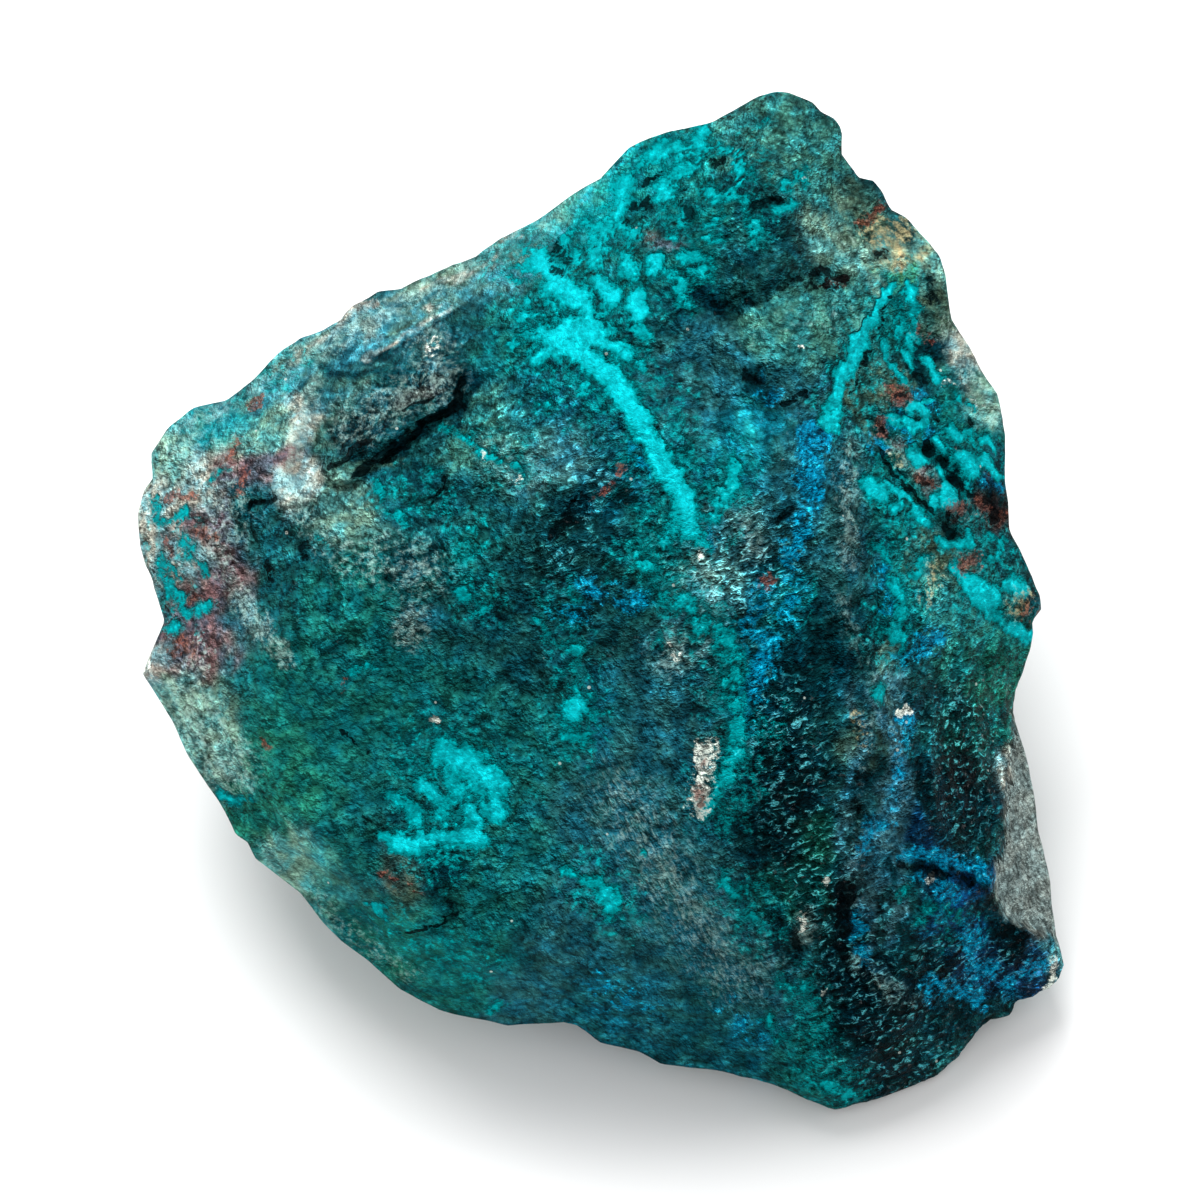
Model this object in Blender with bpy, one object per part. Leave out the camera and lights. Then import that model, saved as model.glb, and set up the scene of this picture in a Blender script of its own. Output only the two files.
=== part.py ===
"""A rough hand-size piece of chrysocolla: one stone, grown and broken as one piece.

The stone is a blunt wedge of fracture faces. Its front is the side that leans back from the viewer's side (-Y):
every place on it is given in a survey frame that looks straight at that front, with u to the right, v up the
front and w out of it, all in millimetres from the middle of the stone. Places on the front are named in marks of
a square survey grid, 1200 marks across an 84 mm field, because a mark is fine enough for every ledge and pit.

World frame: metres, +Z up, the stone lying on its flat underside at z = 0.
"""

import math

import bmesh
import bpy
import numpy as np

# Sizes of the whole stone, millimetres
MM = 0.001
MARK = 0.07
GRID_MIDDLE = 600.0
SURVEY_DISTANCE = 467.0
FRONT_LEAN_DEG = 60.0
REST_DEPTH = 24.9
CENTRING = (-0.10, -2.55)

# The mesh
SEGMENTS = 28
EDGE_SHARPNESS = 44.0
FLATTENING = (1.0, 1.0, 0.86)

# Stone finish
STONE_COLOUR = (0.020, 0.150, 0.150, 1.0)
STONE_ROUGHNESS = 0.55
STONE_METALLIC = 0.0

# Front faces, each a plane: height w at the middle, then its rise per millimetre of u and of v
FRONT_FACES = {
    "main face": (17.6, 0.21, 0.34),
    "shoulder": (20.2, 0.38, -0.31),
    "crown": (19.8, -0.05, -0.50),
    "middle right": (20.9, -0.45, 0.00),
    "right": (33.2, -1.13, -0.10),
    "lower right": (28.5, -0.32, 0.79),
}

# Rim of the stone: outward direction (u, v), distance, depth w of the rim, slope in front and behind in degrees
RIM_FACES = {
    "upper left bevel": (-0.520, 0.854, 26.2, -5.0, 36.0, 30.0),
    "crown left": (-0.336, 0.942, 29.5, -4.0, 32.0, 30.0),
    "crown tip": (0.500, 0.866, 37.4, -4.0, 30.0, 30.0),
    "upper right": (0.848, 0.530, 31.9, -5.0, 36.0, 25.0),
    "right shoulder": (0.943, 0.333, 30.0, -5.0, 36.0, 22.0),
    "right side": (0.972, 0.234, 29.9, -5.0, 34.0, 22.0),
    "right flank": (0.985, 0.080, 29.6, -6.0, 30.0, 22.0),
    "lower right corner": (0.707, -0.707, 39.4, -9.0, 34.0, 25.0),
    "lower right edge": (0.456, -0.890, 39.4, -8.0, 30.0, 25.0),
    "foot": (-0.250, -0.968, 30.8, -6.0, 28.0, 30.0),
    "foot left": (-0.447, -0.894, 30.1, -4.0, 26.0, 30.0),
    "lower left rim": (-0.712, -0.702, 29.5, -3.0, 22.0, 32.0),
    "left flank": (-0.865, -0.500, 30.5, -4.0, 26.0, 30.0),
    "left end": (-0.975, 0.220, 32.9, -5.0, 36.0, 24.0),
    "left shoulder": (-0.790, 0.610, 31.2, -5.0, 38.0, 26.0),
}

# Faces behind and below: outward direction (u, v, w), distance
FAR_FACES = {
    "underside": (0.00, -0.50, -0.866, 25.9),
    "back": (0.00, 0.68, -0.73, 29.6),
    "back left": (-0.72, 0.20, -0.66, 30.0),
    "back right": (0.66, 0.28, -0.70, 31.0),
}

# Edge of the stone as the survey sees it, marks, clockwise from the left end
OUTLINE = (
    (140, 513), (146, 489), (154, 479), (152, 453), (168, 428), (194, 408), (225, 400), (250, 381), (279, 352),
    (300, 338), (322, 330), (340, 320), (352, 307), (378, 291), (400, 288), (435, 271), (477, 257), (501, 238),
    (537, 220), (574, 194), (600, 179), (629, 148), (650, 138), (680, 129), (712, 122), (741, 105), (757, 96),
    (776, 91), (789, 92), (813, 102), (821, 112), (835, 120), (842, 131), (841, 155), (857, 179), (872, 182),
    (882, 195), (890, 211), (904, 219), (926, 243), (938, 259), (944, 278), (950, 320), (968, 349), (984, 379),
    (995, 395), (1004, 437), (1003, 483), (1009, 530), (1020, 561), (1035, 595), (1036, 609), (1027, 621),
    (1027, 637), (1016, 690), (1014, 712), (1028, 761), (1045, 844), (1055, 921), (1062, 962), (1055, 976),
    (1025, 994), (1014, 999), (1008, 1014), (991, 1017), (973, 1031), (957, 1052), (933, 1072), (902, 1086),
    (862, 1102), (832, 1109), (810, 1102), (787, 1088), (761, 1079), (720, 1066), (660, 1060), (640, 1049),
    (601, 1042), (577, 1024), (563, 1020), (508, 1025), (477, 1019), (440, 1010), (400, 990), (369, 962),
    (341, 941), (322, 922), (300, 893), (256, 858), (248, 842), (236, 834), (217, 799), (187, 754), (172, 721),
    (143, 674), (149, 659), (166, 621), (159, 598), (154, 579), (147, 565), (142, 545),
)
OUTLINE_STEPS = 720
BROAD_SMOOTHING = 10.0
LIMIT_SMOOTHING = 6.0

# Raised ribs on the front: course in marks, height, half width
RIDGES = (
    (((836, 470), (845, 560), (841, 600), (851, 640), (864, 665), (876, 690), (866, 740), (857, 800), (851, 870),
      (862, 950)), 1.1, 1.6),
    (((1004, 700), (1003, 760), (1000, 820), (990, 865), (987, 890)), 0.8, 1.2),
    (((700, 760), (715, 830), (723, 890), (745, 930), (768, 955), (792, 995), (803, 1040)), 0.9, 1.6),
    (((318, 372), (306, 409), (298, 432), (282, 479), (262, 520)), 0.8, 1.1),
    (((205, 520), (222, 560), (242, 602), (262, 632), (290, 660)), 0.9, 1.3),
    (((560, 262), (577, 320), (612, 365), (645, 400), (668, 450), (682, 500), (697, 540)), 0.5, 1.4),
    (((900, 268), (878, 305), (860, 336), (840, 380), (830, 425)), 0.55, 1.2),
    (((728, 290), (760, 282), (800, 266), (850, 268)), 0.9, 1.3),
)

# Ledges: the side to the left of the course stands higher; height, width of the step, reach of the raised band
LEDGES = (
    (((300, 470), (350, 486), (381, 464), (405, 442), (432, 431), (455, 396), (470, 352)), 1.5, 1.6, 3.6),
    (((425, 990), (407, 972), (373, 924), (355, 893), (331, 872), (303, 844), (272, 813), (248, 799),
      (199, 777)), -1.3, 1.4, 3.0),
)

# Furrows: course, depth, half width
FURROWS = (
    (((450, 400), (431, 430), (404, 441), (379, 461), (350, 482)), 0.8, 1.3),
    (((338, 372), (372, 362), (405, 358), (432, 362)), 0.7, 1.3),
    (((580, 497), (568, 517), (553, 541)), 0.6, 1.3),
    (((695, 300), (735, 305), (775, 300), (795, 292)), 0.8, 1.4),
    (((862, 400), (868, 470), (873, 540), (878, 600), (889, 650), (893, 700), (880, 760)), 0.9, 1.3),
)

# Lumps and hollows: place in marks, radius, height
LUMPS = (
    (898, 259, 1.3, 0.9), (917, 410, 1.1, 0.8), (965, 464, 1.1, 0.9), (949, 496, 1.5, 1.2), (872, 490, 1.2, 0.6),
    (1021, 607, 1.2, 0.9), (985, 586, 1.4, 0.5), (807, 924, 1.9, 1.0), (380, 400, 3.0, 0.8), (430, 400, 1.6, 0.5),
    (250, 450, 2.2, 0.6), (200, 560, 2.0, 0.6), (155, 655, 1.6, 0.7), (470, 560, 5.0, 0.7), (330, 640, 4.5, 0.6),
    (600, 900, 5.0, 0.6), (790, 210, 3.6, 0.9), (720, 170, 2.6, 0.6), (650, 240, 3.5, 0.6), (800, 340, 2.8, 0.7),
    (745, 450, 3.0, 0.4), (930, 620, 3.4, 0.5), (920, 780, 3.0, 0.8), (945, 940, 3.0, 0.8), (1030, 955, 1.6, 1.2),
    (880, 1040, 3.0, 0.7), (800, 760, 3.2, 0.6), (780, 860, 2.8, 0.5), (905, 985, 2.4, 0.6), (840, 1075, 2.0, 0.5),
    (420, 870, 2.2, 0.6), (470, 960, 2.4, 0.5), (560, 980, 2.6, 0.4),
    (932, 455, 1.3, -1.3), (945, 524, 1.2, -1.0), (988, 927, 1.2, -0.8), (449, 907, 1.2, -0.8),
    (700, 300, 1.2, -0.5), (890, 860, 1.8, -0.8), (975, 830, 2.0, -0.7), (955, 700, 2.4, -0.5),
    (760, 640, 2.4, -0.5), (640, 520, 2.4, -0.4), (240, 700, 2.6, -0.5), (900, 330, 1.8, -0.6),
    (915, 370, 1.4, -0.6), (845, 210, 2.0, -0.6), (965, 540, 1.3, -0.6), (345, 565, 2.6, -0.4),
)

# The scar on the lower right side, where a flake has come off: its border in marks, depth, width of its wall
SCAR = (
    (1030, 690), (1012, 716), (1009, 761), (1007, 795), (1004, 832), (996, 862), (993, 881), (997, 902), (1003, 919),
    (1020, 927), (1041, 938), (1060, 948), (1090, 955), (1090, 690),
)
SCAR_DEPTH = 3.8
SCAR_WALL = (-0.9, 1.4)

# Unevenness of broken stone: size of the swells, height of the swells, size and height of the sharper relief
SWELL_SIZE = 11.0
SWELL_HEIGHT = 0.9
BREAK_SIZE = 5.0
BREAK_HEIGHT = 0.35
WANDER = 0.35
WANDER_SIZE = 2.2
FRONT_BLEND = (-11.0, -3.0)
SEED = 3


def smooth_step(value, low, high):
    """Rise smoothly from 0 at low to 1 at high."""
    share = np.clip((value - low) / (high - low), 0.0, 1.0)
    return share * share * (3.0 - 2.0 * share)


def unit(vectors):
    """Scale vectors to length one."""
    vectors = np.asarray(vectors, dtype=float)
    return vectors / np.linalg.norm(vectors, axis=-1, keepdims=True)


def in_mm(marks):
    """Turn places in survey marks into millimetres from the middle of the stone."""
    places = np.asarray(marks, dtype=float)
    return np.stack([(places[:, 0] - GRID_MIDDLE) * MARK, (GRID_MIDDLE - places[:, 1]) * MARK], axis=1)


def lattice_hash(i, j, k, seed):
    """Mix three whole numbers and a seed into one well scattered whole number."""
    mixed = (i * 374761393 + j * 668265263 + k * 2147483647 + seed * 1274126177) & 0xFFFFFFFF
    mixed = ((mixed ^ (mixed >> 13)) * 1274126177) & 0xFFFFFFFF
    mixed = ((mixed ^ (mixed >> 16)) * 2246822519) & 0xFFFFFFFF
    return mixed ^ (mixed >> 15)


def noise(points, seed):
    """Gradient noise at each point, about -1 to 1, one swell per unit of length."""
    cell = np.floor(points).astype(np.int64)
    inside = points - cell
    ease = inside ** 3 * (inside * (inside * 6.0 - 15.0) + 10.0)
    total = np.zeros(points.shape[:-1])
    for corner in range(8):
        step = np.array([corner & 1, (corner >> 1) & 1, (corner >> 2) & 1])
        weight = np.prod(np.where(step == 1, ease, 1.0 - ease), axis=-1)
        mixed = lattice_hash(cell[..., 0] + step[0], cell[..., 1] + step[1], cell[..., 2] + step[2], seed)
        turn = (mixed & 1023) / 1023.0 * 2.0 * math.pi
        rise = ((mixed >> 10) & 1023) / 511.5 - 1.0
        level = np.sqrt(np.clip(1.0 - rise * rise, 0.0, 1.0))
        away = inside - step
        slope = level * (np.cos(turn) * away[..., 0] + np.sin(turn) * away[..., 1]) + rise * away[..., 2]
        total += weight * slope
    return total * 1.6


def layered_noise(points, octaves, seed):
    """Noise with finer and fainter noise on top."""
    total = np.zeros(points.shape[:-1])
    for octave in range(octaves):
        total += 0.5 ** octave * noise(points * 2.0 ** octave + 17.3 * octave, seed + octave)
    return total


def sharp_noise(points, octaves, seed):
    """Layered noise folded at zero, so its tops are sharp like broken stone."""
    total = np.zeros(points.shape[:-1])
    for octave in range(octaves):
        folded = 1.0 - 2.0 * np.abs(noise(points * 2.0 ** octave + 9.1 * octave, seed + octave))
        total += 0.5 ** octave * folded
    return total


def fracture_planes():
    """List every fracture face as an outward direction and a distance from the middle."""
    directions = []
    distances = []
    for height, rise_u, rise_v in FRONT_FACES.values():
        normal = np.array([-rise_u, -rise_v, 1.0])
        length = np.linalg.norm(normal)
        directions.append(normal / length)
        distances.append(height / length)
    for out_u, out_v, distance, depth, front_deg, behind_deg in RIM_FACES.values():
        flat = unit([out_u, out_v])
        for slope, sign in ((math.radians(front_deg), 1.0), (math.radians(behind_deg), -1.0)):
            directions.append([flat[0] * math.cos(slope), flat[1] * math.cos(slope), sign * math.sin(slope)])
            distances.append(distance * math.cos(slope) + sign * depth * math.sin(slope))
    for out_u, out_v, out_w, distance in FAR_FACES.values():
        directions.append(unit([out_u, out_v, out_w]))
        distances.append(distance)
    return np.array(directions), np.array(distances)


def broken_block(directions):
    """Distance from the middle to the block of fracture faces, its edges slightly rounded."""
    normals, distances = fracture_planes()
    share = np.clip(directions @ normals.T, 1e-9, None) / distances
    largest = share.max(axis=-1)
    rounded = ((share / largest[..., None]) ** EDGE_SHARPNESS).sum(axis=-1) ** (1.0 / EDGE_SHARPNESS)
    return 1.0 / (largest * rounded)


def outline_radius(angles):
    """Distance from the middle to the outline at each angle round the survey direction."""
    corners = in_mm(OUTLINE)
    after = np.roll(corners, -1, axis=0)
    cosine = np.cos(angles)
    sine = np.sin(angles)
    radius = np.zeros_like(angles)
    for (u_a, v_a), (u_b, v_b) in zip(corners, after):
        along_u = u_b - u_a
        along_v = v_b - v_a
        cross = cosine * along_v - sine * along_u
        cross = np.where(np.abs(cross) < 1e-9, 1e-9, cross)
        distance = (u_a * along_v - v_a * along_u) / cross
        share = (u_a * sine - v_a * cosine) / cross
        hit = (share >= 0.0) & (share <= 1.0) & (distance > 0.0)
        radius = np.where(hit, np.maximum(radius, distance), radius)
    return radius


def ring_smoothed(values, width):
    """Smooth a closed ring of values with a bell of the given width in steps."""
    count = len(values)
    offset = np.arange(-count // 2, count // 2)
    bell = np.exp(-0.5 * (offset / width) ** 2)
    bell /= bell.sum()
    return np.real(np.fft.ifft(np.fft.fft(values) * np.fft.fft(np.fft.ifftshift(bell))))


def outline_tables():
    """Work out how far the block must be drawn in or out at each angle to meet the outline."""
    angles = np.linspace(-math.pi, math.pi, OUTLINE_STEPS, endpoint=False)
    tilts = np.radians(np.linspace(50.0, 130.0, 161))
    turn, tilt = np.meshgrid(angles, tilts, indexing="ij")
    directions = np.stack([np.cos(turn) * np.sin(tilt), np.sin(turn) * np.sin(tilt), np.cos(tilt)], axis=-1)
    reach = broken_block(directions)
    seen = reach * np.sin(tilt) * SURVEY_DISTANCE / (SURVEY_DISTANCE - reach * np.cos(tilt))
    limit = seen.max(axis=1)
    outline = outline_radius(angles)
    broad_outline = ring_smoothed(outline, BROAD_SMOOTHING)
    broad_limit = ring_smoothed(limit, LIMIT_SMOOTHING)
    broad = broad_outline / broad_limit
    fine = outline / broad_outline * broad_limit / limit
    return angles, limit, broad, fine


def fit_to_outline(points):
    """Draw the block in or out across the survey direction until its edge meets the outline."""
    angles, limit, broad, fine = outline_tables()
    turn = np.arctan2(points[:, 1], points[:, 0])
    period = 2.0 * math.pi
    limit_here = np.interp(turn, angles, limit, period=period)
    broad_here = np.interp(turn, angles, broad, period=period)
    fine_here = np.interp(turn, angles, fine, period=period)
    closeness = SURVEY_DISTANCE / (SURVEY_DISTANCE - points[:, 2])
    share = np.hypot(points[:, 0], points[:, 1]) * closeness / limit_here
    scale = 1.0 + (broad_here - 1.0) * smooth_step(share, 0.35, 0.95)
    scale *= 1.0 + (fine_here - 1.0) * smooth_step(share, 0.86, 0.995)
    fitted = points.copy()
    fitted[:, 0] *= scale
    fitted[:, 1] *= scale
    return fitted


def along_course(u, v, course):
    """Distance to a course, the side it lies on (positive to the left) and the share of the way along it."""
    nearest = np.full(u.shape, 1e9)
    side = np.zeros(u.shape)
    share = np.zeros(u.shape)
    steps = np.diff(course, axis=0)
    lengths = np.hypot(steps[:, 0], steps[:, 1])
    passed = 0.0
    for start, step, length in zip(course[:-1], steps, lengths):
        along = step / length
        du = u - start[0]
        dv = v - start[1]
        reach = np.clip(du * along[0] + dv * along[1], 0.0, length)
        distance = np.hypot(du - reach * along[0], dv - reach * along[1])
        closer = distance < nearest
        nearest = np.where(closer, distance, nearest)
        side = np.where(closer, np.sign(along[0] * dv - along[1] * du), side)
        share = np.where(closer, (passed + reach) / lengths.sum(), share)
        passed += length
    return nearest, side, share


def fade_ends(share, length):
    """Fade a feature out at both ends of its course."""
    return smooth_step(share, 0.0, length) * smooth_step(1.0 - share, 0.0, length)


def depth_inside(u, v, border):
    """Distance to a closed border, positive inside it."""
    closed = np.vstack([border, border[:1]])
    distance = along_course(u, v, closed)[0]
    inside = np.zeros(u.shape, dtype=bool)
    for (u_a, v_a), (u_b, v_b) in zip(closed[:-1], closed[1:]):
        if v_a == v_b:
            continue
        spans = (v_a > v) != (v_b > v)
        inside ^= spans & (u < (u_b - u_a) * (v - v_a) / (v_b - v_a) + u_a)
    return np.where(inside, distance, -distance)


def front_relief(points):
    """Height of ribs, ledges, furrows, lumps and the scar above the fracture faces, along the survey direction."""
    closeness = SURVEY_DISTANCE / (SURVEY_DISTANCE - points[:, 2])
    u = points[:, 0] * closeness + WANDER * noise(points / WANDER_SIZE, SEED + 8)
    v = points[:, 1] * closeness + WANDER * noise(points / WANDER_SIZE, SEED + 18)
    height = np.zeros(len(points))
    for course, rise, half_width in RIDGES:
        distance, side, share = along_course(u, v, in_mm(course))
        height += rise / (1.0 + (distance / half_width) ** 2) ** 1.5 * fade_ends(share, 0.12)
    for course, rise, width, reach in LEDGES:
        distance, side, share = along_course(u, v, in_mm(course))
        across = distance * side
        step = smooth_step(across, -0.5 * width, 0.5 * width) * smooth_step(-across, -reach, -0.3 * reach)
        height += rise * step * fade_ends(share, 0.15)
    for course, depth, half_width in FURROWS:
        distance, side, share = along_course(u, v, in_mm(course))
        height -= depth * np.exp(-(distance / half_width) ** 2) * fade_ends(share, 0.2)
    for mark_u, mark_v, radius, rise in LUMPS:
        place = in_mm([(mark_u, mark_v)])[0]
        spread = ((u - place[0]) ** 2 + (v - place[1]) ** 2) / radius ** 2
        height += rise * np.exp(-spread)
    scar = depth_inside(u, v, in_mm(SCAR))
    return height - SCAR_DEPTH * smooth_step(scar, SCAR_WALL[0], SCAR_WALL[1])


def stone_points(directions):
    """Place one point of the stone's surface in each direction from its middle, in the survey frame."""
    points = fit_to_outline(directions * broken_block(directions)[:, None])
    folded = points / BREAK_SIZE
    folded = folded + 0.6 * np.stack([noise(folded * 0.6, SEED + axis) for axis in range(3)], axis=1)
    uneven = SWELL_HEIGHT * layered_noise(points / SWELL_SIZE, 3, SEED)
    uneven += BREAK_HEIGHT * sharp_noise(folded, 2, SEED + 4)
    front = smooth_step(points[:, 2], FRONT_BLEND[0], FRONT_BLEND[1])
    placed = points + directions * ((1.0 - front) * 1.1 * uneven)[:, None]
    placed[:, 2] += front * (front_relief(points) + uneven)
    return placed


def lying_down(points):
    """Turn survey points to the lying stone: metres, +Z up, cut flat where the stone rests."""
    lean = math.radians(FRONT_LEAN_DEG)
    x = points[:, 0] + CENTRING[0]
    y = points[:, 1] * math.sin(lean) - points[:, 2] * math.cos(lean) + CENTRING[1]
    z = points[:, 1] * math.cos(lean) + points[:, 2] * math.sin(lean) + REST_DEPTH
    return np.stack([x, y, np.maximum(z, 0.0)], axis=1) * MM


def make_stone():
    """Push a finely cut cube out to the stone's surface."""
    form = bmesh.new()
    bmesh.ops.create_cube(form, size=2.0)
    bmesh.ops.subdivide_edges(form, edges=form.edges[:], cuts=SEGMENTS - 1, use_grid_fill=True)
    corners = np.array([vertex.co[:] for vertex in form.verts])
    directions = unit(np.tan(corners * math.pi / 4.0) * np.array(FLATTENING))
    placed = lying_down(stone_points(directions))
    for vertex, place in zip(form.verts, placed):
        vertex.co = place
    bmesh.ops.triangulate(form, faces=form.faces[:], quad_method="SHORT_EDGE")
    bmesh.ops.recalc_face_normals(form, faces=form.faces[:])
    mesh = bpy.data.meshes.new("chrysocolla")
    form.to_mesh(mesh)
    form.free()
    return mesh


def stone_material():
    """Dull blue-green stone."""
    material = bpy.data.materials.new("chrysocolla_stone")
    material.use_nodes = True
    shader = material.node_tree.nodes["Principled BSDF"]
    shader.inputs["Base Color"].default_value = STONE_COLOUR
    shader.inputs["Roughness"].default_value = STONE_ROUGHNESS
    shader.inputs["Metallic"].default_value = STONE_METALLIC
    return material


def build():
    """Build the stone as one named solid in its own collection."""
    for old in list(bpy.data.objects):
        bpy.data.objects.remove(old, do_unlink=True)
    collection = bpy.data.collections.new("chrysocolla_specimen")
    bpy.context.scene.collection.children.link(collection)
    stone = bpy.data.objects.new("chrysocolla", make_stone())
    stone.data.materials.append(stone_material())
    collection.objects.link(stone)


build()
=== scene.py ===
"""Looks of the chrysocolla specimen: one stone, its fine relief, its minerals, and a plain studio.

The stone is worked out in a survey frame that looks straight at its leaning front: u to the right, v up the front
and w out of it, in millimetres from the stone's middle. Places on the front are written in marks of a square survey
grid, 1200 marks across an 84 mm field. The surface is the same block of fracture faces as the CAD solid, drawn to
the same outline, with finer relief on it.
"""

import logging
import math
from dataclasses import dataclass, field
from enum import Enum

import bpy
import numpy as np
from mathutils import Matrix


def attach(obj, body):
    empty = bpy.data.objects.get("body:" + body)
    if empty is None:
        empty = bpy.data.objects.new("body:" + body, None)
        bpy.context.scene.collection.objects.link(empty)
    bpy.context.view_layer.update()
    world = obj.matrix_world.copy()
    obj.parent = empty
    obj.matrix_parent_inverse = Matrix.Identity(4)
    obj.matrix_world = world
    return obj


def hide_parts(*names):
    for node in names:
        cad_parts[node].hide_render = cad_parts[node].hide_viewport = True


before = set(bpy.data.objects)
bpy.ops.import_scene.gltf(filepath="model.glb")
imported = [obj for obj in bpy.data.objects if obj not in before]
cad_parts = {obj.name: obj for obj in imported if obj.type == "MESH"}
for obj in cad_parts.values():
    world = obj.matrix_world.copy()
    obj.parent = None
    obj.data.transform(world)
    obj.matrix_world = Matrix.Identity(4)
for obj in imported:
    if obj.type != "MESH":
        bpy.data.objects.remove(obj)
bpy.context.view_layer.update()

Marks = tuple[tuple[float, float], ...]
Stroke = tuple[float, ...]
Display = tuple[int, int, int]
LOG = logging.getLogger("chrysocolla")


# ----- Small tools -----


def smooth_step(value: np.ndarray, low: float, high: float) -> np.ndarray:
    """Rise smoothly from 0 at low to 1 at high, as 3t^2 - 2t^3.

    Args:
        value: numbers to compare with low and high.
        low: where the result leaves 0.
        high: where the result reaches 1.

    Returns:
        Numbers from 0 to 1, in the shape of value.
    """
    share = np.clip((value - low) / (high - low), 0.0, 1.0)
    return share * share * (3.0 - 2.0 * share)


def unit(vectors: np.ndarray) -> np.ndarray:
    """Scale vectors to length one."""
    vectors = np.asarray(vectors, dtype=float)
    return vectors / np.linalg.norm(vectors, axis=-1, keepdims=True)


def linear(red: int, green: int, blue: int) -> tuple[float, float, float, float]:
    """Turn a display colour into scene-linear values, as c / 12.92 where c is small and ((c + 0.055) / 1.055)^2.4.

    Args:
        red: red from 0 to 255.
        green: green from 0 to 255.
        blue: blue from 0 to 255.

    Returns:
        The three linear values and alpha 1.
    """
    parts = [(part / 255.0 / 12.92) if part <= 10 else ((part / 255.0 + 0.055) / 1.055) ** 2.4
             for part in (red, green, blue)]
    return (parts[0], parts[1], parts[2], 1.0)


# ----- Noise -----


def lattice_hash(i: np.ndarray, j: np.ndarray, k: np.ndarray, seed: int) -> np.ndarray:
    """Mix three whole numbers and a seed into one well scattered whole number.

    Args:
        i: first whole numbers.
        j: second whole numbers.
        k: third whole numbers.
        seed: which of the many scatters to use.

    Returns:
        Whole numbers of 32 bits.
    """
    mixed = (i * 374761393 + j * 668265263 + k * 2147483647 + seed * 1274126177) & 0xFFFFFFFF
    mixed = ((mixed ^ (mixed >> 13)) * 1274126177) & 0xFFFFFFFF
    mixed = ((mixed ^ (mixed >> 16)) * 2246822519) & 0xFFFFFFFF
    return mixed ^ (mixed >> 15)


def noise(points: np.ndarray, seed: int) -> np.ndarray:
    """Gradient noise: at each lattice corner a fixed random slope, blended across the cell with a smooth quintic.

    Args:
        points: places, one swell per unit of length.
        seed: which noise to use.

    Returns:
        Values of about -1 to 1.
    """
    cell = np.floor(points).astype(np.int64)
    inside = points - cell
    ease = inside ** 3 * (inside * (inside * 6.0 - 15.0) + 10.0)
    total = np.zeros(points.shape[:-1])
    for corner in range(8):
        step = np.array([corner & 1, (corner >> 1) & 1, (corner >> 2) & 1])
        weight = np.prod(np.where(step == 1, ease, 1.0 - ease), axis=-1)
        mixed = lattice_hash(cell[..., 0] + step[0], cell[..., 1] + step[1], cell[..., 2] + step[2], seed)
        turn = (mixed & 1023) / 1023.0 * 2.0 * math.pi
        rise = ((mixed >> 10) & 1023) / 511.5 - 1.0
        level = np.sqrt(np.clip(1.0 - rise * rise, 0.0, 1.0))
        away = inside - step
        total += weight * (level * (np.cos(turn) * away[..., 0] + np.sin(turn) * away[..., 1]) + rise * away[..., 2])
    return total * 1.6


def layered_noise(points: np.ndarray, octaves: int, seed: int) -> np.ndarray:
    """Noise with finer noise on top, each layer half the size and half the height of the one below.

    Args:
        points: places, one broad swell per unit of length.
        octaves: how many layers.
        seed: which noise to use.

    Returns:
        Values of about -2 to 2.
    """
    total = np.zeros(points.shape[:-1])
    for octave in range(octaves):
        total += 0.5 ** octave * noise(points * 2.0 ** octave + 17.3 * octave, seed + octave)
    return total


def sharp_noise(points: np.ndarray, octaves: int, seed: int) -> np.ndarray:
    """Layered noise folded at zero, as 1 - 2|n|, so its tops are sharp like broken stone.

    Args:
        points: places, one broad swell per unit of length.
        octaves: how many layers.
        seed: which noise to use.

    Returns:
        Values of about -1 to 2.
    """
    total = np.zeros(points.shape[:-1])
    for octave in range(octaves):
        folded = 1.0 - 2.0 * np.abs(noise(points * 2.0 ** octave + 9.1 * octave, seed + octave))
        total += 0.5 ** octave * folded
    return total


# ----- The survey frame -----


@dataclass(frozen=True)
class Survey:
    """The frame that looks straight at the leaning front, and the way from it to the lying stone.

    Sizes are in millimetres; the last step turns them into metres.
    """

    mark: float = 0.07
    middle: float = 600.0
    distance: float = 467.0
    lean_deg: float = 60.0
    rest_depth: float = 24.9
    centring: tuple[float, float] = (-0.10, -2.55)

    def in_mm(self, marks: Marks | list[float]) -> np.ndarray:
        """Turn places in survey marks, in pairs or in one row, into (u, v) millimetres from the middle."""
        places = np.asarray(marks, dtype=float).reshape(-1, 2)
        return np.stack([(places[:, 0] - self.middle) * self.mark, (self.middle - places[:, 1]) * self.mark], axis=1)

    def seen(self, points: np.ndarray) -> np.ndarray:
        """Where points stand on the survey grid, in (u, v) millimetres: nearer points spread by d / (d - w)."""
        return points[:, :2] * (self.distance / (self.distance - points[:, 2]))[:, None]

    def lying_down(self, points: np.ndarray) -> np.ndarray:
        """Turn survey points to the lying stone.

        The front's up axis leans back by the lean angle, and what would reach below the table is cut flat.

        Args:
            points: places (u, v, w) in millimetres.

        Returns:
            Places (x, y, z) in metres, +Z up, nothing below z = 0.
        """
        lean = math.radians(self.lean_deg)
        x = points[:, 0] + self.centring[0]
        y = points[:, 1] * math.sin(lean) - points[:, 2] * math.cos(lean) + self.centring[1]
        z = points[:, 1] * math.cos(lean) + points[:, 2] * math.sin(lean) + self.rest_depth
        return np.stack([x, y, np.maximum(z, 0.0)], axis=1) * 0.001

    def camera_place(self) -> tuple[float, float, float]:
        """Where the survey looks from, in metres."""
        lean = math.radians(self.lean_deg)
        return (
            self.centring[0] * 0.001,
            (self.centring[1] - self.distance * math.cos(lean)) * 0.001,
            (self.rest_depth + self.distance * math.sin(lean)) * 0.001,
        )


SURVEY = Survey()


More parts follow.
